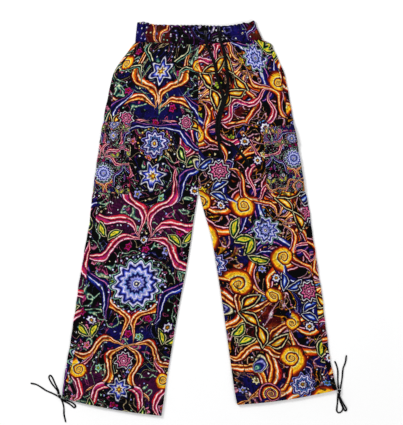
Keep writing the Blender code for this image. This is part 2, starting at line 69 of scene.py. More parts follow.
# -------- the garment's form
# These repeat the part's source, so that every shell lies on its solid's form.
CLOTH = 1.2                 # wall of the panels
BAND = 3.2                  # wall of the waistband
BAND_AIR = 1.0
LAYER = CLOTH + 0.4         # what a pocket or flap adds to the leg it is on
CENTRE_X = -2.6
WAIST_Y = 449.5             # where the waist seam crosses the centre
HEM_TURN = 22.0
CROTCH_ROW = 10             # row of the sections at the top of the inseam
FORK = 24.0                 # above it the inner fold opens into a flat seam
RAMP = 15.0                 # a leg makes room for a pocket's edge over this height
POCKET_BACK = 95.0          # how far a pocket reaches round the back
BACK_RAMP = 40.0            # and over what width the leg comes down from it
MOUTH_DEPTH = 26.0          # from the flap's top seam to the pocket's mouth under it
BAND_TOP = ((-162, 508), (-142, 509), (-122, 504), (-84, 502), (-57, 501), (-2.6, 501.5),
            (39, 499.5), (90, 502), (106, 505), (117, 508.5), (126, 506), (135, 511.5),
            (143, 513))
BAND_ENDS = table("""
height right left
0 -167 163.5
0.33 -165.5 156.5
0.67 -163.8 148.2
1 -162 143""")

POCKET_SIZES = ("flap_top", "flap_bottom", "bottom", "reach_top", "reach_bottom")
# The sections give each leg's flat outline.  Gathers fall from the waistband: place across
# the front from the centre seam (0) to the side seam (1), length, height, half width (same
# measure) and drift outwards.  A crease runs from one point to another; a trough's height
# is below zero, and its bend is how far the middle lies off the straight line.  The first
# six creases are the solid's own.
LEGS = {
    "right": {
        "sign": -1,
        "pocket": dict(zip(POCKET_SIZES, (252, 196, 70, 66, 92))),
        "sections": table("""
side_y side_x inner_x inner_y air strip bow
459 -167 -2.6 449.5 3.4 6 0
457.5 -167.2 -2.6 448 3.4 6 0
446 -177.5 -2.6 437 2.8 8 0
430 -188.5 -2.6 421.5 2.4 8 0
404 -209 -2.6 396 1.8 9 0
380 -222 -2.6 371 1.6 10 0
334 -235 -2.6 322 1.4 11 0
271 -248 -2.6 255 1.4 12 0
209 -259 -2.6 190 1.4 12 0
146 -267 -2.6 124 1.4 12 0
96 -275 -2.6 71 1.4 12 0
42 -281 -12 16 1.4 13 0
-18 -288 -20.5 -45 1.4 14 1
-103 -303 -34 -131 1.4 14 2
-197 -318 -53 -227 1.4 14 3
-291 -331.5 -69 -322 1.4 14 4
-384 -347 -85 -418 1.8 12 5
-436 -355.5 -93.5 -479 4.2 9 6
-465 -358 -98.5 -511.4 4.4 8 6"""),
        "gathers": table("""
across length height half drift
0.04 64 1.2 0.018 0
0.1 118 2.2 0.03 0.01
0.16 46 1.1 0.016 0
0.21 82 1.5 0.02 0.02
0.3 152 2.9 0.034 0.02
0.37 54 1.2 0.017 0
0.43 70 1.4 0.02 0.01
0.5 108 2.1 0.028 0.03
0.57 42 1 0.015 0.01
0.63 88 1.5 0.022 0.02
0.71 142 2.7 0.032 0.03
0.78 58 1.3 0.018 0.01
0.84 74 1.4 0.019 0.01
0.91 96 1.9 0.026 0.01
0.97 40 0.9 0.014 0"""),
        "creases": table("""
start_x start_y end_x end_y height half bend
-14 92 -104 168 2.3 11 6
-12 62 -138 52 1.9 11 -7
-52 -22 -212 -76 2.1 13 10
-176 40 -212 -300 2.6 14 -12
-118 -236 -132 -416 2.2 12 8
-262 -212 -300 -404 1.9 12 -6
-10 112 -66 236 1.4 8 5
-30 20 -96 -58 1.3 8 -5
-70 -70 -182 -132 1.2 8 7
-96 -120 -238 -170 -0.9 9 -6
-236 -20 -262 -190 1.5 9 7
-140 10 -150 -170 -0.9 10 9
-82 -180 -106 -330 1.4 8 -5
-168 -300 -196 -452 1.7 9 6
-232 -318 -252 -462 1.3 8 -5
-118 -424 -122 -500 1.3 6 3
-330 -404 -318 -458 1.5 5 2
-348 -398 -338 -462 1.2 4 -2
-286 -430 -292 -476 1.1 5 1
-206 -446 -210 -486 0.9 4 -1
-40 300 -120 262 0.9 9 4
-60 190 -170 214 -0.8 10 -5
-196 300 -150 226 1.2 8 5
-176 90 -120 20 1.1 8 -4""")},
    "left": {
        "sign": 1,
        "pocket": dict(zip(POCKET_SIZES, (242, 196, 72, 76, 98))),
        "sections": table("""
side_y side_x inner_x inner_y air strip bow
464 163.5 -2.6 449.5 3.4 6 0
462.5 163.7 -2.6 448 3.4 6 0
456 182 -2.6 441 2.8 8 0
440 191.5 -2.6 427 2.4 8 0
411 206 -2.6 401 2 9 0
380 220 -2.6 371 1.6 10 0
334 229.5 -2.6 322 1.4 11 0
271 242 -2.6 255 1.4 12 0
209 253.5 -2.6 190 1.4 12 0
146 264 -2.6 124 1.4 12 0
92 272 -2.6 71 1.4 12 0
42 282.5 11 19 1.4 13 0
-14 290.5 28 -39 1.4 14 1
-103 304 44 -126 1.4 14 2
-197 318.5 59 -221 1.4 14 3
-290 330 72 -313 1.4 14 4
-366 340.5 83.5 -396 1.8 12 5
-416 350.5 91.5 -452 4.2 9 6
-444 358 97.5 -483.2 4.4 8 6"""),
        "gathers": table("""
across length height half drift
0.03 52 1.1 0.017 0
0.09 112 2 0.029 0.02
0.15 68 1.3 0.019 0.01
0.22 48 1.1 0.016 0
0.3 132 2.5 0.033 0.01
0.36 76 1.3 0.018 0.01
0.44 56 1.2 0.019 0
0.51 146 2.8 0.034 0.03
0.58 62 1.2 0.018 0.01
0.65 44 1 0.015 0
0.71 104 1.9 0.027 0.02
0.79 72 1.4 0.02 0.01
0.85 50 1.1 0.016 0.01
0.91 128 2.2 0.028 0.01
0.97 46 1 0.015 0"""),
        "creases": table("""
start_x start_y end_x end_y height half bend
10 90 92 160 2.2 11 -6
16 50 132 34 1.9 11 6
60 -84 226 -36 2.1 13 -9
168 26 206 -286 2.6 14 11
112 -262 134 -404 2.1 12 -7
262 -180 294 -372 1.9 12 7
8 118 74 228 1.4 8 -5
30 4 104 -70 1.3 8 5
80 -128 198 -102 1.2 8 -6
96 -176 236 -214 -0.9 9 6
236 -10 254 -160 1.4 9 -6
132 -20 150 -190 -0.9 10 -8
92 -196 116 -318 1.4 8 5
176 -290 188 -430 1.7 9 -6
238 -300 262 -440 1.4 8 5
112 -404 118 -468 1.2 6 -3
326 -388 318 -440 1.5 5 -2
344 -380 336 -436 1.2 4 2
282 -414 290 -456 1.1 5 -1
204 -424 208 -464 0.9 4 1
40 286 126 262 0.9 9 -4
150 306 128 232 1.2 8 5
54 176 150 200 -0.8 10 5
166 84 118 10 1.1 8 4""")}}
# A leg's first section is its seam with the waistband, and its last is its hem.
for leg in LEGS.values():
    leg["waist"], leg["hem"] = leg["sections"][0], leg["sections"][-1]

# How a gather fades and widens as it falls, and how a crease leans, each with a faint
# trough beside it (its depth and its place in half widths).
GATHER = {"fade": 1.4, "widen": 0.7, "trough": 0.2, "beside": 1.8}
CREASE = {"fade": 0.8, "lean": 0.35, "trough": 0.25, "beside": 1.7}
TROUGH_HALF = 0.8
# Slow unevenness of laid cloth: waves along X and Y in radians per mm, phase, height.
WAVES = ((0.071, 0.022, 0.3, 0.22), (-0.034, 0.083, 1.7, 0.18), (0.128, -0.061, 4.1, 0.12),
         (0.052, 0.154, 2.6, 0.10), (-0.173, 0.098, 5.2, 0.08), (0.016, -0.041, 0.9, 0.30))
LOWEST_TROUGH = -1.15       # the front stays clear of the back under it
CALM_EDGE = 0.06            # folds die out this near a seam, as a share of the front
BAND_PUCKER = {"height": 2.2, "fall": 26.0}     # the band's pleats run on below it
SEAM_PUCKER = {"height": 0.22, "reach": 9.0, "held": 0.6, "seam": 2.0}
PLEAT_LEVEL = 0.4           # of a pleat's height, where the cloth's middle is

# -------- cords: the part's own routes
TAPE = {"width": 8.0, "thick": 1.5}
TIE = {"width": 4.0, "thick": 1.2}
CROSSING_Y = (200, 330)     # the second strand lies on the first between these heights
DRAWSTRINGS = routes("""
drawstring_1:
15.6 478, 19.5 448, 28 429, 37.5 406, 45.5 370, 55.5 336, 61.5 313, 55.5 288, 47.5 263,
44 235, 48.5 213, 63.5 202, 81.5 194, 98 179, 114 160.5, 126 142.5, 131.5 130.5;
drawstring_2:
49.5 490, 54.5 461, 63.5 432, 70 396, 73 367, 73 336, 69 310, 60 284, 53.5 258, 50.5 230,
50 203, 52.5 180, 61 159""")
KNOTS = {"right": (-363.6, -462.8), "left": (363.4, -449.0)}
KNOT_Z = 3.2
TIE_Z = 0.8                 # a tie on the floor
TIE_ROUTES = routes("""
ankle_tail_right_1:
-369.3 -461.2 2.4, -373 -459.4 1.6, -378 -457.1, -385 -453.8, -392.2 -450.8,
-399.4 -447.3, -406.6 -442.6, -412.4 -438.8, -418.6 -435, -425.4 -431.6, -432.6 -430,
-439 -428.8;
ankle_tail_right_2:
-360.6 -468 1, -358 -473, -354.9 -482, -352.7 -493, -352.4 -504, -351.8 -512, -349.8 -521,
-347.8 -530;
ankle_loop_right_1:
-365.2 -457 1, -366 -452, -367.2 -447.4, -370.2 -440.4, -375.8 -428.9, -379 -421.6,
-383.2 -413, -387.4 -408.4, -391 -410.6, -391 -415.4, -388 -422, -384.2 -428.9,
-379.4 -435.4 0.9, -374.6 -440.8 2.2, -370 -446.4 2.4, -367.6 -452 2.5, -366.8 -457.2 3.2;
ankle_loop_right_2:
-359.8 -468.4 4, -353.2 -471.4 3.5, -344.6 -473.2 1.8, -338 -476, -330.8 -479.4,
-325 -483.8, -322 -488.8, -325 -492.2, -331.8 -487.4, -339.4 -481.6, -346.8 -477.6 1,
-352.6 -474.8 2.1, -358.6 -470.8 2.4;
ankle_tail_left_1:
361 -443.4 2.2, 360.4 -436 1.4, 360 -427, 359.6 -416, 359.6 -404, 359 -393, 356 -382,
351.6 -371.5;
ankle_tail_left_2:
365.8 -443.4 3.4, 367.4 -435 1.8, 369.4 -425, 371 -412, 372 -400, 374 -388.5, 378.6 -377,
382 -356;
ankle_loop_left_1:
360.4 -454.2 1, 359.6 -462, 359 -472, 358.2 -483, 357 -493, 357 -501, 360.8 -505.4,
366.6 -504.2, 371.2 -499.4, 372.6 -493.4, 370 -486, 366.6 -478, 364.4 -469.5, 364 -462,
364.8 -454.8 1;
ankle_loop_left_2:
362.6 -454.4 4.6, 363.2 -461 3.8, 366.8 -469 3.8, 370.8 -476.4 3.8, 375 -483.6 3.8,
378.8 -489.6 3.2, 381.4 -494.8 1.5, 381.8 -499.2, 378.4 -500.6, 375.6 -496.4 2.3,
372.8 -490.6 2.4, 370.2 -484.6 2.4, 367.2 -478 2.4, 364.4 -470.6 2.3, 362.2 -463 2.3,
362 -456 2.3""")

# -------- what the looks add
SHELL = 0.9                 # cloth as it shows
SEAM_STEP = 0.1             # a seam's two edges are this far apart
ROW_STEP = {"front": 3.0, "back": 4.5, "pocket": 3.0}
FRONT_COLUMNS = 104
BACK_COLUMNS = 16
EDGE_STEPS = np.array((0.0, 0.8, 1.8, 3.2))     # close rows and columns beside a seam
INSEAM_PARTS = np.linspace(0, 1, 6)
INSEAM_END = 40             # degrees of the cloth's edge at the inner fold's seam
SIDE_ANGLES = np.linspace(-90, 90, 11)
OFF_FLOOR = {"height": 0.35, "half": 0.3}       # the back's middle stands off the floor
SEAM_DIP = {"depth": 0.55, "reach": 1.3}        # cloth rolls down into a seam
WAIST_DIP = 0.6             # as much of that where the band holds it
PAST_POCKET = 4.0           # the leg stays up this far past the pocket under it
FOLD_CALM = (466, 430)      # the side fold is straight above these heights
FIRST_ROW = 6.0             # from the waist to the first row that isn't a close one
HEM_ROUND, HEM_ROWS = 6, 5  # rows round the hem's fold and up the hem inside


# ======== small mathematics
def smooth_curve(knots, values, at):
    """Read a table's column at any places, on a smooth curve through its rows."""
    knots, values = np.asarray(knots, float), np.asarray(values, float)
    slopes = np.gradient(values, knots)
    order = np.argsort(knots)
    knots, values, slopes = knots[order], values[order], slopes[order]
    at = np.clip(at, knots[0], knots[-1])
    i = np.clip(np.searchsorted(knots, at) - 1, 0, len(knots) - 2)
    span = knots[i + 1] - knots[i]
    t = (at - knots[i]) / span
    return ((1 + 2 * t) * (1 - t) ** 2 * values[i] + t * (1 - t) ** 2 * span * slopes[i]
            + t * t * (3 - 2 * t) * values[i + 1] + t * t * (t - 1) * span * slopes[i + 1])


def rise(low, high, x):
    """0 up to low, 1 from high, and a soft ramp between."""
    t = np.clip((x - low) / (high - low), 0, 1)
    return t * t * (3 - 2 * t)


def bell(x):
    return np.exp(-x * x)


def flattened(x, power):
    """A sine's value pushed out towards 1 or -1."""
    return np.sign(x) * np.abs(x) ** power


def run_along(points):
    """How far along a line each of its points is."""
    return np.concatenate(([0], np.cumsum(np.linalg.norm(np.diff(points, axis=0), axis=-1))))


def even_route(points, step):
    """Points a step apart on a smooth curve through these points."""
    points = np.asarray(points, float)
    run = run_along(points)
    places = np.linspace(0, run[-1], max(int(round(run[-1] / step)), 4) + 1)
    return np.stack([smooth_curve(run, column, places) for column in points.T], axis=1)


def unit(vectors):
    return vectors / np.linalg.norm(vectors, axis=-1)[..., None]


def directions(along):
    """Along a line, level across it, and upright to both."""
    along = unit(along)
    beside = unit(np.cross((0.0, 0.0, 1.0), along))
    return along, beside, np.cross(along, beside)


# ======== the leg's form
def leg_section(leg, y):
    """A leg's flattened sections at heights y of its side fold, one row each."""
    y = np.asarray(y, float)
    columns = {name: np.array([row[name] for row in leg["sections"]])
               for name in leg["sections"][0]}
    heights = columns["side_y"]
    crotch = heights[CROTCH_ROW]
    held = np.clip(y, heights[-1], heights[0])
    read = {name: smooth_curve(heights, column, y) for name, column in columns.items()}
    inseam_x = smooth_curve(heights[CROTCH_ROW:], columns["inner_x"][CROTCH_ROW:], y)
    inner = np.stack((np.where(y >= crotch, CENTRE_X, inseam_x), read["inner_y"]), axis=-1)
    across = np.stack((read["side_x"], held), axis=-1) - inner
    width = np.linalg.norm(across, axis=-1)
    across = across / width[:, None]
    down = np.stack((across[:, 1], -across[:, 0]), axis=-1) * leg["sign"]
    layers = sum(pocket_layers(leg["pocket"], y))
    radius = (CLOTH + read["air"]) / 2
    fold = width - radius - CLOTH / 2 - LAYER * layers + edge_wave(y, leg["sign"])
    section = {"inner": inner - down * (y - held)[:, None], "across": across, "down": down,
               "width": width, "bow": read["bow"], "radius": radius,
               "inseam": radius + CLOTH / 2, "fold": fold, "seam": fold - read["strip"],
               "layers": layers, "y": y, "closed": 1 - rise(crotch, crotch + FORK, y)}
    return {"leg": leg, **{name: column[:, None] for name, column in section.items()}}


def edge_wave(y, sign):
    """The side fold isn't quite a straight line, apart from its calm top."""
    calm = rise(*FOLD_CALM, y)
    return calm * (0.5 * np.sin(y / 17.0 + sign) + 0.4 * np.sin(y / 7.3) - 0.6)


def pocket_layers(pocket, y):
    """How much of the pocket and of its flap lies on the leg at height y."""
    above = rise(pocket["flap_top"], pocket["flap_top"] + RAMP, y)
    return [rise(pocket[low] - RAMP, pocket[low], y) - above for low in ("bottom", "flap_bottom")]


def floor_lift(section, w):
    """How high the leg's back is held off the floor by the pocket under it."""
    reach = section["fold"] - w
    start = POCKET_BACK + PAST_POCKET
    return LAYER * section["layers"] * (1 - rise(start, start + BACK_RAMP, reach))


def plan(section, w):
    """Places in plan at distance w from the inner edge."""
    t = np.clip(w / section["width"], 0, 1)
    return (section["inner"] + section["across"] * w[..., None]
            + section["down"] * (section["bow"] * 4 * t * (1 - t))[..., None])


def raised(section, w, z):
    """Points at distance w from the inner edge and height z."""
    return np.concatenate((plan(section, w), z[..., None]), axis=-1)


def crease_height(x, y, start_x, start_y, end_x, end_y, height, half, bend):
    """A soft fold with one steep flank and a faint trough beside it."""
    run_x, run_y = end_x - start_x, end_y - start_y
    length = np.hypot(run_x, run_y)
    s = np.clip(((x - start_x) * run_x + (y - start_y) * run_y) / length ** 2, 0, 1)
    off = ((x - start_x) * run_y - (y - start_y) * run_x) / length - bend * 4 * s * (1 - s)
    q = off / half
    ridge = (bell(q * (1 - CREASE["lean"] * np.tanh(q)))
             - CREASE["trough"] * bell((q + CREASE["beside"]) / TROUGH_HALF))
    return height * np.sin(pi * s) ** CREASE["fade"] * ridge


def gather_height(place, fall, across, length, height, half, drift):
    """A gather of the front, at a place across it and a fall from the waist."""
    t = np.clip(fall / length, 0, 1)
    off = (place - across - drift * t) / (half * (1 + GATHER["widen"] * t))
    trough = GATHER["trough"] * bell((off - GATHER["beside"]) / TROUGH_HALF)
    return height * (1 - t) ** GATHER["fade"] * (bell(off) - trough)


def relief(section, w):
    """Height of gathers, creases and puckers on the front panel."""
    leg = section["leg"]
    from_inner, from_side = w - section["inseam"], section["seam"] - w
    place = np.clip(from_inner / (section["seam"] - section["inseam"]), 0, 1)
    fall = leg["waist"]["side_y"] - section["y"]
    height = sum(gather_height(place, fall, **gather) for gather in leg["gathers"])
    x, y = np.moveaxis(plan(section, w), -1, 0)
    right, left = (LEGS[side]["waist"]["side_x"] for side in ("right", "left"))
    height = height + (BAND_PUCKER["height"] * (pleat((x - right) / (left - right)) - PLEAT_LEVEL)
                       * bell(fall / BAND_PUCKER["fall"]))
    for crease in leg["creases"]:
        height = height + crease_height(x, y, **crease)
    for wave_x, wave_y, phase, wave in WAVES:
        height = height + wave * np.sin(wave_x * x + wave_y * y + phase)
    calm = np.clip(np.minimum(place, 1 - place) / CALM_EDGE, 0, 1)
    pucker = np.sin(y / 2.9 + 1.3 * np.sin(y / 31.0)) + 0.6 * np.sin(y / 1.9 + 2.0)
    reach = SEAM_PUCKER["reach"]
    seams = bell(from_side / reach) + (1 - section["closed"]) * bell(from_inner / reach)
    held = 1 - SEAM_PUCKER["held"] * bell(np.minimum(from_side, from_inner) / SEAM_PUCKER["seam"])
    return (np.maximum(height, LOWEST_TROUGH) * calm
            + SEAM_PUCKER["height"] * pucker * seams * held)


def seam_dip(distance):
    return -SEAM_DIP["depth"] * bell(distance / SEAM_DIP["reach"])


def front_points(section, w, lift=0.0):
    """The front's surface; lift moves it out."""
    return raised(section, w, CLOTH / 2 + floor_lift(section, w) + 2 * section["radius"]
                  + relief(section, w) + lift)


def back_points(section, w, lift=0.0):
    """The back's surface, flat on the floor or on the pocket under it."""
    x, y = np.moveaxis(plan(section, w), -1, 0)
    middle = bell((w / section["fold"] - 0.5) / OFF_FLOOR["half"])
    off_floor = OFF_FLOOR["height"] * middle * (1 + np.sin(x / 13.0 + y / 41.0) * np.sin(y / 23.0))
    return raised(section, w, CLOTH / 2 + floor_lift(section, w) + off_floor - lift)


def side_points(section, angles, lift=0.0):
    """Round the side fold, from -90 degrees at the back to 90 at the front."""
    angle = np.radians(angles)[None, :]
    radius = section["radius"] + lift
    z = CLOTH / 2 + LAYER * section["layers"] + section["radius"] + radius * np.sin(angle)
    return raised(section, section["fold"] + radius * np.cos(angle), z)


def inseam_points(section, side, lift=0.0):
    """Round the inner fold, from its seam to the flat of the front (side 1) or back (-1)."""
    parts = INSEAM_PARTS[None, :]
    radius, closed = section["radius"] + lift, section["closed"]
    end = np.arcsin((SEAM_STEP / 2 + CLOTH / 2 * sin(radians(INSEAM_END))) / radius)
    angle = end + (pi / 2 - end) * parts
    folded_w = section["inseam"] - radius * np.cos(angle)
    open_w = SEAM_STEP / 2 + (section["inseam"] - SEAM_STEP / 2) * parts
    clear = CLOTH * closed * (1 - closed) * (1 - parts)
    w = closed * folded_w + (1 - closed) * open_w + clear
    bend = closed * np.sin(angle) + 1 - closed
    return raised(section, w, CLOTH / 2 + floor_lift(section, 0 * w) + section["radius"]
                  + side * radius * bend + side * (1 - closed) * seam_dip(w))


def between(start, end, count):
    """Places from start to end, closer together beside both."""
    steps = np.sign(end - start) * EDGE_STEPS
    inner, outer = start + steps[..., -1:], end - steps[..., -1:]
    middle = inner + (outer - inner) * np.linspace(0, 1, count)[1:-1]
    return np.concatenate((start + steps, middle, end - steps[..., ::-1]), axis=-1)


def front_panel(section, lift=0.0):
    """The front: inner fold, and the flat up to the side seam."""
    w = between(section["inseam"], section["seam"] - SEAM_STEP, FRONT_COLUMNS)[:, 1:]
    flat = front_points(section, w, lift)
    flat[..., 2] += seam_dip(section["seam"] - w)
    return np.concatenate((inseam_points(section, 1, lift), flat), axis=1)


def back_panel(section, lift=0.0):
    """The back: inner edge, floor, side fold, and the strip up to the side seam."""
    w = between(section["inseam"], section["fold"], BACK_COLUMNS)[:, 1:-1]
    steps = section["fold"] - section["seam"] - EDGE_STEPS[None, ::-1]
    over = section["fold"] - np.concatenate((steps[:, :1] * 0.45, steps), axis=1)
    turned = front_points(section, over, lift)
    turned[..., 2] += seam_dip(over - section["seam"])
    return np.concatenate((inseam_points(section, -1, lift), back_points(section, w, lift),
                           side_points(section, SIDE_ANGLES, lift), turned), axis=1)


def panel_rows(leg, step):
    """Heights from the waist to the hem, then the hem's turning as (past, lift)."""
    waist, hem = leg["waist"]["side_y"], leg["hem"]["side_y"]
    count = int((waist - hem) / step)
    heights = np.concatenate((waist - EDGE_STEPS, np.linspace(waist - FIRST_ROW, hem, count)))
    turn = LAYER / 2
    arc = np.linspace(0, pi, HEM_ROUND + 1)[1:]
    turns = [(-turn * sin(a), -turn * (1 - cos(a))) for a in arc]
    inside = np.linspace(0, HEM_TURN, HEM_ROWS + 1)[1:]
    return heights, turns + [(past, -LAYER) for past in inside]


def panel_grid(leg, shape_of, step):
    """A leg panel's points with its hem turned up inside, row by row."""
    heights, turns = panel_rows(leg, step)
    rows = [shape_of(leg_section(leg, heights))]
    rows[0][..., 2] += WAIST_DIP * seam_dip(heights[0] - heights)[:, None]
    for past, lift in turns:
        rows.append(shape_of(leg_section(leg, [heights[-1] + past]), lift))
    return np.concatenate(rows, axis=0)


# ======== meshes
# Where each piece was cut on the print: origin in metres, turn in degrees, and how many
# times smaller the print is on it.
CUTS = {
    "front_leg_right": ((0.0, 0.010), 0, 1.0), "back_leg_right": ((0.40, 0.23), 0, 1.0),
    "front_leg_left": ((0.02, 0.06), 62, 1.0), "back_leg_left": ((0.31, 0.40), 118, 1.0),
    "pocket_right": ((0.09, 0.24), 8, 2.8), "pocket_left": ((0.03, 0.12), -6, 2.8),
    "pocket_flap_right": ((0.13, 0.60), 4, 2.8), "pocket_flap_left": ((0.06, 0.70), 0, 2.8),
}


def grid_faces(rows, columns, ring_rows=False, ring_columns=False):
    """Quads of a grid of points; a ring's last line meets its first."""
    r = np.arange(rows if ring_rows else rows - 1)
    c = np.arange(columns if ring_columns else columns - 1)
    r, c = (lines.ravel() for lines in np.meshgrid(r, c, indexing="ij"))
    below, beside = (r + 1) % rows, (c + 1) % columns
    return np.stack((r * columns + c, r * columns + beside,
                     below * columns + beside, below * columns + c), axis=1)


def add_object(name, data):
    item = bpy.data.objects.new(name, data)
    bpy.context.scene.collection.objects.link(item)
    return item


def mesh_object(name, points, faces, material, node=None, cut=None):
    """A smooth mesh in millimetres, with the flat cloth's coordinates per face corner.

    It takes the material given, and stands for the node, if any: the node's own part is hidden.
    """
    mesh = bpy.data.meshes.new(name)
    mesh.from_pydata((np.asarray(points).reshape(-1, 3) * MM).tolist(), [], faces)
    mesh.shade_smooth()
    if cut is not None:
        layer = mesh.uv_layers.new(name="Cut")
        layer.data.foreach_set("uv", np.asarray(cut, np.float32).ravel())
    mesh.materials.append(material)
    item = add_object(name, mesh)
    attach(item, "root")
    if node:
        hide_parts(node)
    return item


def cut_of(grid, origin, turn, scale, gather):
    """Coordinates on the print, in metres, from a grid measured along its own lines.

    The middle column and the lowest row hold still; gather is how much wider the flat
    cloth is than it lies, row by row.
    """
    across = np.linalg.norm(np.diff(grid, axis=1), axis=-1)
    across = np.concatenate((np.zeros((len(grid), 1)), np.cumsum(across, axis=1)), axis=1)
    across = (across - across[:, -1:] / 2) * gather
    along = run_along(grid[:, grid.shape[1] // 2])
    along = (along[-1] - along)[:, None] + 0 * across
    c, s = cos(radians(turn)), sin(radians(turn))
    return np.stack(((across * c - along * s) * scale * MM + origin[0],
                     (across * s + along * c) * scale * MM + origin[1]), axis=-1)


def sheet_object(node, grid, material, flip, gather=1.0):
    """A shell of cloth in a node's place, through a grid of points (rows, columns, 3)."""
    cut = cut_of(grid, *CUTS[node], gather)
    grid = np.concatenate((grid[..., :2], np.maximum(grid[..., 2:], SHELL / 2)), axis=-1)
    faces = grid_faces(*grid.shape[:2])
    if flip:
        faces = faces[:, ::-1]
    item = mesh_object(f"{node}_cloth", grid, faces.tolist(), material, node,
                       cut.reshape(-1, 2)[faces.ravel()])
    shell = item.modifiers.new("shell", "SOLIDIFY")
    shell.thickness = SHELL * MM
    shell.offset = 0
    return item


# ======== colours and shader nodes
PALETTE = {                 # as seen on screen, 0 to 1
    "black": (0.02, 0.015, 0.035), "night": (0.05, 0.04, 0.11), "navy": (0.09, 0.07, 0.36),
    "blue": (0.15, 0.26, 0.74), "sky": (0.42, 0.62, 0.90), "lavender": (0.66, 0.66, 0.95),
    "violet": (0.36, 0.18, 0.56), "plum": (0.28, 0.06, 0.24), "magenta": (0.72, 0.12, 0.44),
    "pink": (0.94, 0.52, 0.66), "rose": (0.84, 0.22, 0.34), "red": (0.74, 0.10, 0.08),
    "maroon": (0.34, 0.04, 0.08), "rust": (0.62, 0.20, 0.06), "orange": (0.93, 0.42, 0.05),
    "amber": (0.96, 0.60, 0.07), "yellow": (0.97, 0.82, 0.18), "cream": (0.98, 0.93, 0.72),
    "white": (0.96, 0.96, 0.98), "lime": (0.70, 0.80, 0.26), "green": (0.16, 0.46, 0.22),
    "teal": (0.06, 0.36, 0.36), "mint": (0.64, 0.86, 0.72), "brown": (0.30, 0.14, 0.07),
}
GAMMA = 2.2
MOST_STOPS = 32             # a colour ramp holds no more


def linear(colour, alpha=1.0):
    return (*(channel ** GAMMA for channel in PALETTE[colour]), alpha)


def bands(text, clear_end=True):
    """Ramp stops from colours and widths, side by side; wide ones keep a flat middle."""
    words = text.split()
    pairs = [(colour, float(width)) for colour, width in zip(words[::2], words[1::2])]
    total = sum(width for _, width in pairs)
    stops, place = [], 0.0
    for k, (colour, width) in enumerate(pairs):
        alpha = 1.0
        if colour == "clear":
            alpha, colour = 0.0, pairs[k - 1 if k else 1][0]
        soft = min(width / 2, 1.0)
        stops.append(((place + soft) / total, linear(colour, alpha)))
        if width > 3:
            stops.append(((place + width - soft) / total, linear(colour, alpha)))
        place += width
    if clear_end and pairs[-1][0] != "clear":
        stops.append((1.0, linear(pairs[-1][0], 0.0)))
    assert len(stops) <= MOST_STOPS, text
    return stops


class Shade:
    """Adds nodes to a tree; an input may be a number, a vector or another node's socket."""

    def __init__(self, tree):
        self.tree = tree
        self.shader = tree.nodes.get("Principled BSDF")

    def put(self, socket, value):
        if isinstance(value, bpy.types.NodeSocket):
            self.tree.links.new(value, socket)
        else:
            socket.default_value = value

    def node(self, kind, inputs, **settings):
        made = self.tree.nodes.new("ShaderNode" + kind)
        for key, value in settings.items():
            setattr(made, key, value)
        for key, value in inputs.items():
            self.put(made.inputs[key], value)
        return made

    def math(self, operation, *values):
        return self.node("Math", dict(enumerate(values)), operation=operation).outputs[0]

    def affine(self, value, factor, plus):
        return self.math("MULTIPLY_ADD", value, factor, plus)

    def times(self, value, factor):
        return self.math("MULTIPLY", value, factor)

    def vector(self, operation, *values):
        made = self.node("VectorMath", dict(enumerate(values)), operation=operation)
        return made.outputs[1 if operation in ("DOT_PRODUCT", "LENGTH") else 0]

    def split(self, vector):
        return [self.vector("DOT_PRODUCT", vector, axis) for axis in ((1, 0, 0), (0, 1, 0))]

    def joined(self, x, y):
        return self.node("CombineXYZ", {0: x, 1: y}).outputs[0]

    def polar(self, x, y):
        return self.vector("LENGTH", self.joined(x, y)), self.math("ARCTAN2", y, x)

    def field(self, place, x=1.0, y=1.0):
        """A place for a noise to read, scaled."""
        return self.node("Mapping", {"Vector": place, "Scale": (x, y, 1.0)}).outputs[0]

    def noise(self, place, scale, detail=2.0, distortion=0.0):
        return self.node("TexNoise", {"Vector": place, "Scale": scale, "Detail": detail,
                                      "Distortion": distortion}, noise_dimensions="2D").outputs

    def ramp(self, value, stops, interpolation="LINEAR"):
        made = self.node("ValToRGB", {0: value})
        line = made.color_ramp
        line.interpolation = interpolation
        line.elements.remove(line.elements[1])
        line.elements[0].position, line.elements[0].color = stops[0]
        for place, colour in stops[1:]:
            line.elements.new(place).color = colour
        return made.outputs

    def mixed(self, factor, below, above, blend="MIX"):
        return self.node("Mix", {"Factor": factor, 6: below, 7: above}, data_type="RGBA",
                         blend_type=blend).outputs[2]

    def over(self, below, value, colours):
        """Bands of colour by value, laid over what is below, see-through where clear."""
        colour, alpha = self.ramp(value, bands(colours))
        return self.mixed(alpha, below, colour)

    def finish(self, colour, gloss=None, weave=None):
        """The shader's colour and gloss, and a plain weave's (pitch, strength) as bump."""
        inputs = self.shader.inputs
        self.put(inputs["Base Color"], colour)
        if gloss:
            inputs["Specular IOR Level"].default_value = gloss
        if weave:
            pitch, strength = weave
            place = self.node("TexCoord", {}).outputs["Object"]
            x, y = self.split(self.vector("MULTIPLY", place, (tau / pitch, tau / pitch, 0)))
            threads = self.times(self.math("SINE", x), self.math("SINE", y))
            bump = self.node("Bump", {"Height": threads, "Strength": strength,
                                      "Distance": 0.15 * pitch})
            self.put(inputs["Normal"], bump.outputs[0])


def new_material(name, roughness):
    material = bpy.data.materials.new(name)
    material.use_nodes = True
    shade = Shade(material.node_tree)
    shade.shader.inputs["Roughness"].default_value = roughness
    return material, shade


def new_group(name, **inputs):
    """A node group that gives a colour: its Shade, what it is given, and its result."""
    tree = bpy.data.node_groups.new(name, "ShaderNodeTree")
    for label, kind in inputs.items():
        tree.interface.new_socket(label, in_out="INPUT", socket_type="NodeSocket" + kind)
    tree.interface.new_socket("Colour", in_out="OUTPUT", socket_type="NodeSocketColor")
    given = tree.nodes.new("NodeGroupInput").outputs
    return Shade(tree), given, tree.nodes.new("NodeGroupOutput").inputs[0]


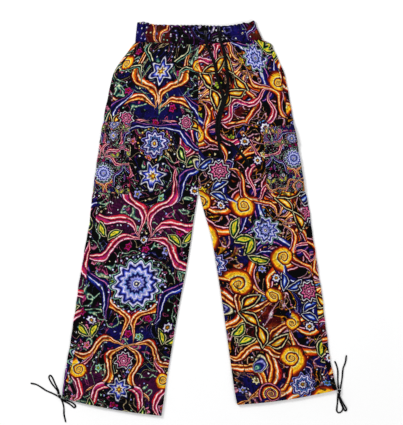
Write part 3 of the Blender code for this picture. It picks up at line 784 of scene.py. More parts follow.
# ======== the print's motifs
# Each takes its own x and y, 1 at its reach, and draws over the colour below it.
STREAK = {"share": 0.40, "across": 9.0, "along": 1.7}      # a ribbon's bands stray
DROP_LENGTH = 0.68
LEAF_WIDTH = 0.5
SCROLL_TIGHTNESS = 1.3
FLORET = {"scatter": 0.85, "depth": 0.22}
FLOW = {"spread": 2.2, "shift": -0.6}       # stretches a noise over all the bands


def rosette(shade, x, y, below, colours, petals, depth, twist=0.0):
    """A flower of nested rings that wave with its petals; twist turns them outwards."""
    r, angle = shade.polar(x, y)
    wave = shade.times(angle, petals)
    if twist:
        wave = shade.affine(r, twist, wave)
    swell = shade.affine(shade.math("COSINE", wave), depth, 1.0)
    return shade.over(below, shade.times(r, swell), colours)


def beads(shade, x, y, below, colours, count, bead):
    """A ring of round beads."""
    r, angle = shade.polar(x, y)
    cell = shade.math("FRACT", shade.affine(angle, count / tau, 0.5))
    along = shade.affine(cell, tau / count, -pi / count)
    off = shade.vector("LENGTH", shade.joined(along, shade.math("SUBTRACT", r, 1.0)))
    return shade.over(below, shade.math("DIVIDE", off, bead), colours)


def scroll(shade, x, y, below, colours, hand=1.0):
    """A spiral shell; its outline is one turn of the same spiral."""
    r, angle = shade.polar(x, y)
    part = shade.affine(angle, -hand / tau, 0.5)
    winding = shade.affine(shade.math("LOGARITHM", r, 2.7183), SCROLL_TIGHTNESS, part)
    colour = shade.ramp(shade.math("FRACT", winding), bands(colours, clear_end=False))[0]
    return shade.mixed(shade.math("LESS_THAN", winding, 0.0), below, colour)


def drop(shade, x, y, below, colours, curl):
    """A teardrop, round at its foot; curl bends its tip."""
    r, angle = shade.polar(x, y)
    bent = shade.math("SINE", shade.affine(r, curl, angle))
    return shade.over(below, shade.affine(shade.times(r, bent), -DROP_LENGTH, r), colours)


def leaf(shade, x, y, below, colours, bend):
    """A leaf pointed at both ends."""
    square = shade.times(y, y)
    off = shade.math("ABSOLUTE", shade.affine(square, bend, x))
    return shade.over(below, shade.affine(off, 1 / LEAF_WIDTH, square), colours)


def ribbon(shade, x, y, below, colours, width, sway, waves, phase=0.0):
    """A striped band that sways along its length and tapers to both ends."""
    path = shade.math("SINE", shade.affine(y, waves, phase))
    off = shade.affine(path, -sway, x)
    taper = shade.affine(shade.times(y, y), -width, width)
    across = shade.math("DIVIDE", off, shade.math("MAXIMUM", taper, 0.0001))
    brush = shade.field(shade.joined(off, y), STREAK["across"], STREAK["along"])
    streak = shade.noise(brush, 1.0, 1.0)[0]
    level = shade.affine(streak, STREAK["share"], 0.5 - STREAK["share"] / 2)
    return shade.over(below, shade.affine(across, 0.5, level), colours)


KINDS = {"rosette": rosette, "beads": beads, "scroll": scroll, "drop": drop, "leaf": leaf,
         "ribbon": ribbon}
FROM_FOOT = ("leaf", "ribbon")      # placed by their lower ends, the rest by their middles


def motif(kind, colours, own):
    """A node group that draws one kind of motif in one design."""
    shade, given, result = new_group(kind, Below="Color", Point="Vector", Middle="Vector",
                                     Across="Vector", Along="Vector")
    off = shade.vector("SUBTRACT", given["Point"], given["Middle"])
    x, y = (shade.vector("DOT_PRODUCT", off, given[axis]) for axis in ("Across", "Along"))
    shade.put(result, KINDS[kind](shade, x, y, given["Below"], colours, *own))
    return shade.tree


def florets(shade, place, below, spacing, reach, petals, share, colours, hues):
    """Small flowers scattered a spacing apart, each in one of the hues."""
    field = shade.field(place, 1 / spacing, 1 / spacing)
    inputs = {"Vector": field, "Scale": 1.0, "Randomness": FLORET["scatter"]}
    cell = shade.node("TexVoronoi", inputs, voronoi_dimensions="2D").outputs
    r, angle = shade.polar(*shade.split(shade.vector("SUBTRACT", field, cell["Position"])))
    swell = shade.affine(shade.math("COSINE", shade.times(angle, petals)), FLORET["depth"], 1.0)
    level = shade.times(r, shade.times(swell, 1 / reach))
    pick = shade.node("SeparateColor", {0: cell["Color"]}).outputs
    level = shade.math("ADD", level, shade.math("GREATER_THAN", pick[1], share))
    colour, alpha = shade.ramp(level, bands(colours))
    hues = hues.split()
    steps = [(k / len(hues), linear(hue)) for k, hue in enumerate(hues)]
    tinted = shade.mixed(1.0, colour, shade.ramp(pick[0], steps, "CONSTANT")[0], "MULTIPLY")
    return shade.mixed(alpha, below, tinted)


def marbling(shade, place, size, stretch, churn, colours):
    """Flowing bands of colour, as in marbled paper, that fill the ground."""
    flow = shade.noise(shade.field(place, 1 / (size * stretch), 1 / size), 1.0, 2.0, churn)[0]
    level = shade.affine(flow, FLOW["spread"], FLOW["shift"])
    return shade.ramp(level, bands(colours, clear_end=False))[0]


def filigree(shade, place, below, size, lines, churn, colours):
    """Fine lines that follow a second flow."""
    flow = shade.noise(place, 1 / size, 1.0, churn)[0]
    return shade.over(below, shade.math("FRACT", shade.times(flow, lines)), colours)


def brushed(shade, place, below, size, churn, tones):
    """Light and dark brushed over the colour in swirls; tones are (level, grey) stops."""
    flow = shade.noise(place, 1 / size, 3.0, churn)[0]
    stops = [(level, (grey, grey, grey, 1.0)) for level, grey in tones]
    return shade.mixed(1.0, below, shade.ramp(flow, stops)[0], "MULTIPLY")


# Designs as bands from the middle outwards, or across a ribbon: colour and width.
BANDS = named("""
flame: clear 1 black 5 plum 4 red 3 rose 2 pink 2 cream 2 white 2 pink 1 rose 3 red 3 maroon 4
    plum 3 magenta 2 rose 3 red 2 pink 2 white 4 pink 2 rose 2 plum 4 black 5 clear 1;
ember: clear 1 black 5 maroon 4 red 2 orange 3 cream 2 white 2 cream 1 amber 3 orange 3 maroon 6
    rust 3 orange 4 yellow 3 cream 2 amber 2 red 3 maroon 4 black 5 clear 1;
glow: clear 1 black 6 maroon 4 red 3 orange 4 yellow 3 cream 4 amber 3 orange 3 red 2 maroon 4
    black 3 maroon 3 pink 3 white 1 rose 2 maroon 3 black 6 clear 1;
dusk: clear 1 black 6 navy 7 blue 2 white 4 blue 2 navy 9 black 4 navy 5 violet 2 pink 3 violet 2
    navy 7 black 5 clear 1;
vein: clear 1 black 5 teal 2 cream 4 teal 2 black 8 teal 1 mint 3 teal 1 black 5 clear 1;
gold_shell: black 3 cream 2 yellow 5 amber 3 yellow 3 orange 2 rust 3 maroon 3;
fire_shell: black 4 cream 2 yellow 3 orange 2 red 2 maroon 3 black 5 pink 2 maroon 3;
lace: cream 2 navy 4 white 1.5 blue 3 lavender 3 navy 6 sky 1.5 lavender 4 white 2 lavender 3
    blue 2 navy 5 lavender 3 white 1.5 navy 4 mint 1 black 4;
dahlia: yellow 3 rust 2 black 3 white 3 violet 2 navy 5 sky 2 navy 4 lavender 3 white 2 violet 2
    navy 5 lavender 2 black 5;
carnation: white 3 magenta 3 plum 3 pink 3 plum 3 black 3 pink 3 magenta 2 plum 3 black 4 white 3
    plum 3 black 5;
daisy: amber 3 brown 2 black 2 white 4 violet 2 black 5;
paisley: teal 4 mint 2 teal 3 navy 5 lavender 2 navy 4 cream 2 black 4;
lily: yellow 2 rust 2 black 2 cream 3 lavender 3 blue 2 navy 5 white 3 navy 2 black 6;
leaf_green: cream 3 lime 2 green 3 night 4 black 5 cream 2.5 black 6;
leaf_lime: green 2 yellow 4 lime 2 green 2 black 6 cream 2.5 black 6;
leaf_blue: white 3 sky 2 blue 3 navy 5 black 4 white 2.5 navy 2 black 6;
leaf_fire: cream 2 yellow 4 orange 2 maroon 3 black 6 cream 2.5 black 6;
bead_white: white 4 lavender 2 black 4;
bead_gold: cream 3 yellow 3 rust 2 black 4;
floret: yellow 3 black 2 white 4 black 4;
wash_navy: navy 5 navy 3 clear 5;
wash_black: black 5 black 3 clear 5;
wash_red: rust 2 brown 4 maroon 4 clear 5;
wash_fire: red 3 rust 4 maroon 4 clear 4;
wash_plum: plum 5 plum 3 clear 5""")

HAND = ((34.0, 0.009), (130.0, 0.0022))     # how drawn lines wander: scale and swing
BRUSH_TONES = ((0.32, 0.10), (0.44, 1.0), (0.50, 0.30), (0.60, 1.0), (0.68, 0.20))
SOFT_BRUSH = (0.026, 1.2, ((0.30, 0.10), (0.40, 1.0), (0.49, 0.45), (0.58, 1.0), (0.68, 0.30)))
# A print repeats, mirrored, past its reach.  Its parts are tuples of what marbling,
# filigree, brushed and florets take.  Motifs are drawn in order, a line each: kind, bands,
# x and y in metres, size, turns in degrees with one copy to a turn, and then the kind's own
# values, in the order of its function.
NIGHT = {
    "reach": (0.150, 1.060),
    "ground": (0.120, 0.7, 1.5, "black 24 navy 6 lavender 2 navy 6 black 36 plum 3 pink 3 plum 3 "
               "black 44 maroon 3 cream 3 maroon 3 black 30 navy 8 black 8"),
    "lines": ((0.110, 2.0, 2.2, "clear 46 plum 3 magenta 1 pink 2 magenta 1 plum 3 clear 44"),
              (0.090, 1.5, 1.6, "clear 62 teal 2 mint 1 cream 1 mint 1 teal 2 clear 31")),
    "brush": (0.030, 1.4, BRUSH_TONES),
    "florets": ((0.014, 0.23, 3.0, 0.34, "white 6 black 5",
                 "white mint white lavender white cream"),
                (0.046, 0.25, 5.0, 0.34, BANDS["floret"],
                 "magenta pink mint pink lavender magenta")),
    "washes": """
rosette wash_navy 0 0.86 0.12 0 4 0.1
rosette wash_black 0.12 0.3 0.09 0 3 0.1
rosette wash_plum 0.06 0.54 0.08 0 3 0.1
rosette wash_plum 0.08 0.11 0.07 0 3 0.1
rosette wash_navy 0.03 0.225 0.06 0 3 0.1""",
    "motifs": """
ribbon flame 0.004 0.5 0.095 -22,-68,-118 0.17 0.16 4.4 0.4
ribbon ember 0.004 0.83 0.095 -30,-74 0.17 0.18 4.2 1
ribbon flame 0.02 0.805 0.08 -130 0.17 0.18 4.4 0.8
ribbon flame 0.136 0.865 0.095 158,204 0.15 0.16 4.8 2.2
ribbon ember 0.003 0.225 0.085 -158,-112,-24 0.16 0.2 4.6 0.2
ribbon dusk 0.14 0.43 0.09 150,196 0.19 0.15 4 0.9
ribbon dusk 0.14 0.735 0.08 24,66,150 0.19 0.15 4 0.9
ribbon flame 0.12 0.02 0.085 8,52 0.16 0.18 4.6 0.6
ribbon vein 0.04 0.905 0.075 -14,-62 0.13 0.2 5 0.6
leaf leaf_green 0.08 0.69 0.028 -60,20 -0.3
leaf leaf_lime 0.1 0.48 0.026 -30,50 0.3
leaf leaf_fire 0.12 0.78 0.028 -15,50 0.3
leaf leaf_lime 0.1 0.215 0.028 -50,20 0.3
leaf leaf_green 0.06 0.01 0.028 -20,50 0.3
scroll gold_shell 0.116 0.945 0.034 120 -1
scroll gold_shell 0.11 0.13 0.036 250
drop paisley 0.138 0.7 0.013 150 0.42
rosette lace 0 0.372 0.068 0 14 0.1
beads bead_white 0 0.372 0.073 0 30 0.055
rosette dahlia 0 0.74 0.036 0 10 0.13
beads bead_gold 0 0.74 0.041 0 18 0.08
rosette carnation 0.078 0.8 0.022 15 9 0.12
rosette carnation 0.146 0.552 0.022 5 8 0.14
rosette lily 0 0.655 0.036 0 7 0.3 1.2
rosette lily 0 0.93 0.036 0 6 0.3
rosette lily 0 0.095 0.03 0 7 0.28 1.2
rosette daisy 0.114 0.628 0.017 15 8 0.15
rosette daisy 0.1 0.265 0.016 15 7 0.16
rosette daisy 0 0.49 0.012 0 7 0.16
rosette carnation 0 0.17 0.026 15 8 0.14 2
rosette dahlia 0 0.02 0.026 15 8 0.14"""}
SUN = {
    "reach": (0.190, 0.430),
    "ground": (0.100, 1.3, 1.8, "navy 12 lavender 2 navy 7 black 24 maroon 3 orange 2 yellow 3 "
               "orange 2 maroon 3 black 36 rust 2 cream 3 rust 2 black 26 navy 10"),
    "lines": ((0.105, 2.2, 2.2, "clear 45 maroon 3 orange 2 cream 2 orange 2 maroon 3 clear 43"),
              (0.090, 1.5, 1.8, "clear 61 maroon 3 pink 1 white 3 pink 1 maroon 3 clear 28")),
    "brush": (0.034, 1.4, BRUSH_TONES),
    "florets": ((0.015, 0.22, 3.0, 0.26, "white 6 black 5", "white cream white pink white yellow"),
                (0.046, 0.25, 6.0, 0.24, BANDS["floret"], "yellow cream lavender lime pink sky")),
    "washes": """
rosette wash_navy 0.06 0.06 0.1 0 3 0.1
rosette wash_navy 0.02 0.25 0.09 0 3 0.1
rosette wash_fire 0.15 0.15 0.062 0 3 0.2
rosette wash_black 0.15 0.32 0.07 0 3 0.1
rosette wash_fire 0.06 0.4 0.055 0 4 0.2""",
    "motifs": """
ribbon ember 0.03 0.01 0.13 -34,-4 0.16 0.16 4.6
ribbon glow 0.15 0.195 0.115 74,26,-14 0.18 0.18 4.4 0.6
ribbon dusk 0.02 0.235 0.105 -64,-22 0.21 0.2 4.4 0.6
ribbon ember 0.182 0.015 0.095 66,28 0.18 0.18 4.8 1.6
ribbon glow 0.01 0.35 0.09 -100,-60,-20 0.16 0.18 4.8 1.6
ribbon flame 0.09 0.33 0.07 10,-50 0.16 0.16 5 2.4
leaf leaf_lime 0.03 0.215 0.034 30,-40 0.3
leaf leaf_fire 0.128 0.12 0.038 -70,5 -0.3
leaf leaf_blue 0.16 0.25 0.03 0,60 0.3
leaf leaf_fire 0.06 0.385 0.032 75,25 0.3
leaf leaf_lime 0.182 0.06 0.03 -60,10 0.3
scroll gold_shell 0.075 0.16 0.05 30
scroll gold_shell 0.148 0.215 0.031 210 -1
scroll gold_shell 0.082 0.3 0.042 140
rosette daisy 0.16 0.398 0.015 20 8 0.15
scroll fire_shell 0.03 0.06 0.038 90 -1
drop paisley 0.104 0.066 0.015 30 0.36
rosette lace 0 0.305 0.036 0 10 0.14
rosette carnation 0.19 0.3 0.03 0 9 0.15 2
rosette dahlia 0 0.14 0.032 10 9 0.15
rosette daisy 0.115 0.25 0.014 10 8 0.15"""}
SPECKLE = {
    "reach": (0.420, 0.100),
    "ground": (0.080, 1.0, 1.2, "black 24 navy 10 lavender 2 navy 10 black 30 plum 4 violet 3 "
               "plum 4 black 30 night 3 white 2 night 3 black 24"),
    "lines": ((0.080, 2.0, 1.8, "clear 45 plum 3 violet 2 white 2 violet 2 plum 3 clear 44"),),
    "brush": (0.026, 1.4, ((0.32, 0.20), (0.44, 1.0), (0.50, 0.45), (0.60, 1.0))),
    "florets": ((0.013, 0.24, 3.0, 0.46, "white 6 black 4",
                 "white mint white lavender white cream"),),
    "washes": """
rosette wash_navy 0.006 0.03 0.06 0 3 0.1
rosette wash_red 0.078 0.026 0.06 0 3 0.1
rosette wash_navy 0.35 0.03 0.048 0 3 0.1
rosette wash_red 0.406 0.026 0.045 0 3 0.1""",
    "motifs": """
ribbon glow 0.084 0 0.045 30,-20 0.2 0.2 4 0.5
ribbon dusk 0.368 0.005 0.04 -40 0.2 0.2 4 0.5"""}


def placed_motifs(shade, place, colour, motifs):
    # The motifs' point waits for the colour below, though it takes nothing from it, because
    # Cycles then draws them one by one, and needs room for only one at a time.
    point = shade.vector("MULTIPLY_ADD", colour, (0, 0, 0), place)
    for line in motifs.strip().splitlines():
        kind, colours, x, y, size, turns, *own = line.split()
        x, y, size, *own = map(float, (x, y, size, *own))
        drawing = motif(kind, BANDS[colours], own)
        for turn in map(float, turns.split(",")):
            c, s = cos(radians(turn)), sin(radians(turn))
            reach = size if kind in FROM_FOOT else 0.0
            inputs = {"Below": colour, "Point": point, "Middle": (x - reach * s, y + reach * c, 0),
                      "Across": (c / size, s / size, 0), "Along": (-s / size, c / size, 0)}
            colour = shade.node("Group", {}, node_tree=drawing)
            for label, value in inputs.items():
                shade.put(colour.inputs[label], value)
            colour = colour.outputs[0]
    return colour


def drawn_print(name, design):
    """A node group that gives the print's colour from the flat cloth's coordinates.

    The motifs are mirrored past the print's reach; the ground under them isn't.
    """
    shade, _, result = new_group(name)
    place = shade.node("UVMap", {}, uv_map="Cut").outputs[0]
    for scale, swing in HAND:
        wobble = shade.noise(place, scale, 1.0)[1]
        place = shade.vector("MULTIPLY_ADD", wobble, (swing, swing, 0), place)
    place = shade.field(place)
    mirrored = shade.joined(*(shade.math("PINGPONG", axis, reach)
                              for axis, reach in zip(shade.split(place), design["reach"])))
    colour = marbling(shade, place, *design["ground"])
    colour = placed_motifs(shade, mirrored, colour, design["washes"])
    for lines in design["lines"]:
        colour = filigree(shade, place, colour, *lines)
    colour = brushed(shade, place, colour, *design["brush"])
    for scatter in design["florets"]:
        colour = florets(shade, place, colour, *scatter)
    colour = placed_motifs(shade, mirrored, colour, design["motifs"])
    shade.put(result, brushed(shade, place, colour, *SOFT_BRUSH))
    return shade.tree


def printed_cloth(name, design):
    """Printed polyester: the print's colour and a fine weave."""
    material, shade = new_material(f"printed_cloth_{name}", 0.78)
    placed = shade.node("Group", {}, node_tree=drawn_print(name, design))
    shade.finish(placed.outputs[0], gloss=0.06, weave=(0.0007, 0.25))
    return material


def mottled(name, roughness, scale, detail, low, high, **finish):
    """A plain material between two colours, each given with its level of the noise."""
    material, shade = new_material(name, roughness)
    level = shade.noise(shade.node("TexCoord", {}).outputs["Object"], scale, detail)[0]
    stops = [(place, (*colour, 1)) for place, colour in (low, high)]
    shade.finish(shade.ramp(level, stops)[0], **finish)
    return material


# ======== leg panels
WAIST_FULLNESS = 0.35       # cloth taken up by the gathers at the waist, gone by this fall
WAIST_FALL = 150.0


def leg_panel(side, leg, part, material):
    name, step = f"{part}_leg_{side}", ROW_STEP[part]
    grid = panel_grid(leg, front_panel if part == "front" else back_panel, step)
    heights, turns = panel_rows(leg, step)
    gathered = 1 - rise(0, WAIST_FALL, heights[0] - heights)
    fullness = np.concatenate((1 + WAIST_FULLNESS * gathered, np.ones(len(turns))))[:, None]
    outward = (side == "left") == (part == "front")
    return sheet_object(name, grid, material, outward, fullness)


# ======== pockets and flaps
POCKET_EDGE = 1.0           # a stitched edge lies this far above the leg's middle
POCKET_BULGE = 1.8
FULL_OVER = {"side": 22, "edge": 26, "foot": 34}        # it fills out over these distances,
MOUTH_FLAT = 0.6            # is this much flatter at its mouth,
POCKET_SLACK = 0.25         # and is this uneven
EDGE_ROLL = 7.0
FLAP_OVER = 1.15            # from the pocket to the flap on it
FLAP_AIR = 0.3
FLAP_CURL = {"height": 0.5, "reach": 9.0}
HINGE = 20.0                # a flap's top follows the pocket this far below it
FLAP_EXTRA = 2.0            # a flap reaches this much past its pocket
STITCH_IN = 3.0             # stitches run this far inside an edge


def pocket_reach(pocket, y, extra):
    down = (pocket["flap_top"] - y) / (pocket["flap_top"] - pocket["bottom"])
    return pocket["reach_top"] * (1 - down) + pocket["reach_bottom"] * down + extra


def pocket_lift(pocket, y, in_front, reach):
    """How far a pocket stands off the leg: flat at its stitched edges, full between them.

    in_front is the distance from the side fold over the front, negative on the back.
    """
    edge = rise(0, EDGE_ROLL, np.minimum(reach - in_front, y - pocket["bottom"]))
    full = (rise(0, FULL_OVER["side"], in_front) * rise(0, FULL_OVER["edge"], reach - in_front)
            * rise(0, FULL_OVER["foot"], y - pocket["bottom"])
            * (1 - MOUTH_FLAT * rise(pocket["flap_bottom"] - 10, pocket["flap_top"], y)))
    slack = 1 + POCKET_SLACK * np.sin(in_front / 9.0 + y / 15.0) * np.sin(y / 11.0)
    return POCKET_EDGE + (LAYER - POCKET_EDGE) * edge + POCKET_BULGE * full * slack


def flap_lift(pocket, y, in_front, reach):
    """The flap is stitched down along its top and lies on the pocket below that."""
    over = rise(pocket["flap_top"], pocket["flap_top"] - MOUTH_DEPTH + 4, y)
    under = pocket_lift(pocket, np.minimum(y, pocket["flap_top"] - HINGE), in_front,
                        reach + HINGE)
    curl = FLAP_CURL["height"] * (1 - rise(0, FLAP_CURL["reach"], y - pocket["flap_bottom"]))
    return (POCKET_EDGE + (under + FLAP_OVER - POCKET_EDGE + FLAP_AIR) * over
            + curl * (1 + np.sin(in_front / 8.0)))


def on_pocket(section, in_front, reach, lift_of):
    """Points over the front at these distances from the side fold."""
    lift = lift_of(section["leg"]["pocket"], section["y"], in_front, reach)
    return front_points(section, section["fold"] - in_front, lift)


def pocket_grid(leg, heights, extra, lift_of):
    """Points of a pocket piece folded round the side."""
    section, pocket = leg_section(leg, heights), leg["pocket"]
    y = section["y"]
    reach = pocket_reach(pocket, y, extra)
    inward = (reach - EDGE_STEPS[-1]) * np.linspace(1, 0, 26)[None, 1:-1]
    front = on_pocket(section, np.concatenate((reach - EDGE_STEPS, inward), axis=1), reach,
                      lift_of)
    round_side = side_points(section, SIDE_ANGLES[::-1], lift_of(pocket, y, 0 * y, reach))
    behind = (POCKET_BACK + extra) * np.linspace(0, 1, 9)[None, 1:] + 0 * y
    back = back_points(section, section["fold"] - behind, lift_of(pocket, y, -behind, reach))
    return np.concatenate((front, round_side, back), axis=1)


def pocket_parts(leg):
    """The pocket and its flap: name, top, bottom, how much wider, and how each lies."""
    pocket = leg["pocket"]
    return (("pocket", pocket["flap_top"] - MOUTH_DEPTH, pocket["bottom"], 0.0, pocket_lift),
            ("pocket_flap", pocket["flap_top"], pocket["flap_bottom"], FLAP_EXTRA, flap_lift))


def pocket_piece(side, leg, kind, high, low, extra, lift_of, material):
    heights = between(np.array([high]), np.array([low]), int((high - low) / ROW_STEP["pocket"]))
    grid = pocket_grid(leg, heights, extra, lift_of)
    return sheet_object(f"{kind}_{side}", grid, material, side == "left")


# ======== waistband
BAND_SHELL = 2.7
PLEATS = 27
PLEAT_HEIGHT = 2.4
BACK_PLEATS = 0.25          # of the front's height, where the back lies on the floor
BAND_STITCHES = (0.34, 0.67)            # rows that hold the elastic, as parts of the height
PINCH = {"row": 0.6, "row_reach": 0.055, "seam": 0.45, "seam_reach": 0.05}
BAND_COLUMNS = {"front": 360, "back": 90, "end": 7}
BAND_FULLNESS = 1.3                     # flat cloth to gathered cloth
ROUND_TOP = 0.028           # the top edge's rounding, as a part of the height


def waist_seam_y(x):
    """The seam between the waistband and the legs."""
    side_x, side_y = (np.where(x > CENTRE_X, LEGS["left"]["waist"][name],
                               LEGS["right"]["waist"][name]) for name in ("side_x", "side_y"))
    return WAIST_Y + (side_y - WAIST_Y) * (x - CENTRE_X) / (side_x - CENTRE_X)


def pleat(part):
    """Uneven pleats along the band, 0 in the folds and up to 1 on the ridges."""
    phase = PLEATS * part + 0.45 * np.sin(10.7 * part + 0.6) + 0.3 * np.sin(27.0 * part + 2.0)
    size = 0.74 + 0.26 * np.sin(9.2 * part + 1.0) * np.sin(31.0 * part)
    return size * (0.5 - 0.5 * np.cos(tau * phase)) ** 0.6


def pinch(height):
    """The rows of stitches and the lower seam hold the pleats down."""
    rows = sum(bell((height - row) / PINCH["row_reach"]) for row in BAND_STITCHES)
    return 1 - PINCH["row"] * rows - PINCH["seam"] * bell(height / PINCH["seam_reach"])


def band_points(height, part, lift, facing, angle=0.0):
    """Points of the band: height 0 to 1 up it, part 0 to 1 across, or round an end.

    facing is 1 on the front, -1 on the back and 0 round an end.
    """
    right, left = (np.interp(height, *([row[name] for row in BAND_ENDS]
                                       for name in ("height", side)))
                   for side in ("right", "left"))
    radius = (BAND + BAND_AIR) / 2
    right, left = right + radius + BAND / 2, left - (radius + BAND / 2)
    fold = pleat(part)
    ridge = PLEAT_HEIGHT * fold * pinch(height)
    if facing:
        x = right + (left - right) * part
        standing = ridge if facing > 0 else BACK_PLEATS * ridge
        z = BAND / 2 + radius + facing * (radius + lift) + standing
    else:
        at_left = part > 0.5
        x = (np.where(at_left, left, right)
             + np.where(at_left, 1, -1) * (radius + lift) * np.cos(angle))
        z = BAND / 2 + radius + (radius + lift) * np.sin(angle)
    high = smooth_curve(*zip(*BAND_TOP), x)
    low = waist_seam_y(x) + SEAM_STEP
    wave = (1.6 * fold - 0.8) * np.clip(height, 0, 1) ** 3
    return np.stack((x, low + (high - low) * height + wave, z), axis=-1)


def band_profile():
    """Once round the band's own thickness: height up it and lift from its middle."""
    half = BAND_SHELL / 2
    arc = np.radians(np.arange(0, 181, 22.5))
    heights = np.concatenate(((0.0, 0.012, 0.03), np.linspace(0.06, 1 - ROUND_TOP - 0.02, 18),
                              1 - ROUND_TOP + ROUND_TOP * np.sin(arc), np.linspace(0.93, 0.0, 8)))
    lifts = np.concatenate(((half - 0.8, half - 0.25, half - 0.05), np.full(18, half),
                            half * np.cos(arc), np.full(8, -half)))
    return heights[:, None], lifts[:, None]


def waistband(material):
    """The gathered band: a closed tube of cloth over its elastic."""
    height, lift = band_profile()
    arc = np.radians(np.linspace(90, -90, BAND_COLUMNS["end"] + 2))[1:-1]
    round_band = ((np.linspace(0, 1, BAND_COLUMNS["front"]), 1, 0), (np.ones(len(arc)), 0, arc),
                  (np.linspace(1, 0, BAND_COLUMNS["back"]), -1, 0), (np.zeros(len(arc)), 0, -arc))
    grid = np.concatenate([band_points(height, part[None, :] + 0 * height, lift, facing, angle)
                           for part, facing, angle in round_band], axis=1)
    faces = grid_faces(*grid.shape[:2], ring_rows=True, ring_columns=True)[:, ::-1]
    closed = np.pad(grid, ((0, 1), (0, 1), (0, 0)), mode="wrap")
    u, v = np.meshgrid(run_along(closed[len(grid) // 3, :, :2]) * BAND_FULLNESS * MM,
                       run_along(closed[:, 9]) * MM)
    cut = np.stack((u, v), axis=-1)
    corners = np.stack((cut[:-1, :-1], cut[:-1, 1:], cut[1:, 1:], cut[1:, :-1]), axis=2)
    return mesh_object("waistband_cloth", grid, faces.tolist(), material,
                       "waistband", corners.reshape(-1, 4, 2)[:, ::-1])


# ======== stitching
STITCH_PITCH = 3.2
STITCH = {"length": 2.3, "width": 0.55, "rise": 0.3}
STITCH_SIDES = 5
BAR = {"length": 3.0, "width": 1.1, "rise": 0.45}       # a buttonhole's stitch
BUTTONHOLE = {"length": 15.0, "gap": 1.6, "bars": 56, "lift": 0.35, "round": 0.35}


def stitches(at, along, size):
    """Stitches with pointed ends, one at each place: their points and faces."""
    sides, length, high = STITCH_SIDES, size["length"], size["rise"]
    shape = [(-length / 2, 0, -high)]
    for x in (-0.28 * length, 0.28 * length):
        shape += [(x, size["width"] / 2 * np.cos(turn), high * np.sin(turn))
                  for turn in np.arange(sides) * tau / sides]
    shape.append((length / 2, 0, -high))
    axes = np.stack(directions(along), axis=1)
    points = at[:, None] + np.einsum("sa,nac->nsc", np.array(shape), axes)
    one, first, second = [], 1, 1 + sides
    for k in range(sides):
        after = (k + 1) % sides
        one += [(0, first + after, first + k),
                (first + k, first + after, second + after, second + k),
                (second + k, second + after, second + sides)]
    faces = [tuple(v + len(shape) * n for v in face) for n in range(len(at)) for face in one]
    return points.reshape(-1, 3), faces


def stitch_line(points, lift=SHELL / 2):
    """Stitches end to end along a line."""
    points = points + (0, 0, lift)
    run = run_along(points)
    places = np.arange(STITCH_PITCH / 2, run[-1], STITCH_PITCH)
    behind, at, ahead = (np.stack([np.interp(places + off, run, axis) for axis in points.T], axis=1)
                         for off in (-0.5, 0, 0.5))
    return stitches(at, ahead - behind, STITCH)


def joined_object(name, parts, material):
    """Many small meshes as one piece."""
    points, faces, start = [], [], 0
    for part_points, part_faces in parts:
        points.append(part_points)
        faces += [tuple(v + start for v in face) for face in part_faces]
        start += len(part_points)
    mesh_object(name, np.concatenate(points), faces, material)


def leg_stitching(side, leg, material):
    """Hem, pocket and flap stitches of one leg."""
    section = leg_section(leg, [leg["hem"]["side_y"] + HEM_TURN - 2])
    w = np.linspace(section["inseam"][0, 0], section["fold"][0, 0], 120)[None, :]
    parts = [stitch_line(front_points(section, w)[0])]
    pocket = leg["pocket"]
    for rows, extra, high, low, lift_of in (
            (1, 0.0, pocket["flap_bottom"] - 2, pocket["bottom"] + 3, pocket_lift),
            (2, FLAP_EXTRA, pocket["flap_top"] - 3, pocket["flap_bottom"] + 4, flap_lift)):
        upright = leg_section(leg, np.linspace(high, low, 60))
        reach = pocket_reach(pocket, upright["y"], extra)
        parts.append(stitch_line(on_pocket(upright, reach - STITCH_IN, reach, lift_of)[:, 0]))
        for y in (low, high)[:rows]:
            level = leg_section(leg, [y])
            reach = pocket_reach(pocket, level["y"], extra)
            in_front = np.linspace(reach[0, 0] - STITCH_IN, 0, 60)[None, :]
            parts.append(stitch_line(on_pocket(level, in_front, reach, lift_of)[0]))
    joined_object(f"stitching_{side}", parts, material)


def band_stitching(material):
    """The rows that hold the elastic, on the front."""
    part = np.linspace(0.01, 0.99, 400)
    parts = [stitch_line(band_points(np.full(400, row), part, BAND_SHELL / 2, 1), 0.1)
             for row in BAND_STITCHES]
    joined_object("stitching_waistband", parts, material)


def buttonhole(name, centre, top, material):
    """A stitched slit in the band, upright, where a drawstring strand comes out."""
    turns = np.linspace(0, tau, BUTTONHOLE["bars"], endpoint=False)
    c, s = np.cos(turns), np.sin(turns)
    half_width = (BUTTONHOLE["gap"] + BAR["length"]) / 2
    x = centre[0] + half_width * flattened(c, BUTTONHOLE["round"])
    y = centre[1] + BUTTONHOLE["length"] / 2 * flattened(s, 0.8)
    z = np.array([top(*place) for place in zip(x, y)]) + BUTTONHOLE["lift"]
    along = np.stack((c, BUTTONHOLE["round"] * s, 0 * turns), axis=1)
    joined_object(name, [stitches(np.stack((x, y, z), axis=1), along, BAR)], material)


# ======== tapes, ties and knots
KNOT = {"reach": 3.6, "flat": 1.35, "strand": 1.5, "points": 60, "sides": 10}
TAPE_SIDES = 14
TAPE_STEP, TIE_STEP = 3.0, 2.0
LOWEST = 0.02               # nothing of a tape is under the floor
TAPE_AIR = 0.1              # under a drawstring, and what one needs to cross the other
CROSSING = {"ramp": 26.0, "air": 0.5}
SUNK = 2.2                  # a drawstring starts this deep in its buttonhole
BRIDGE = 6                  # steps over which it bridges the gathers, each way


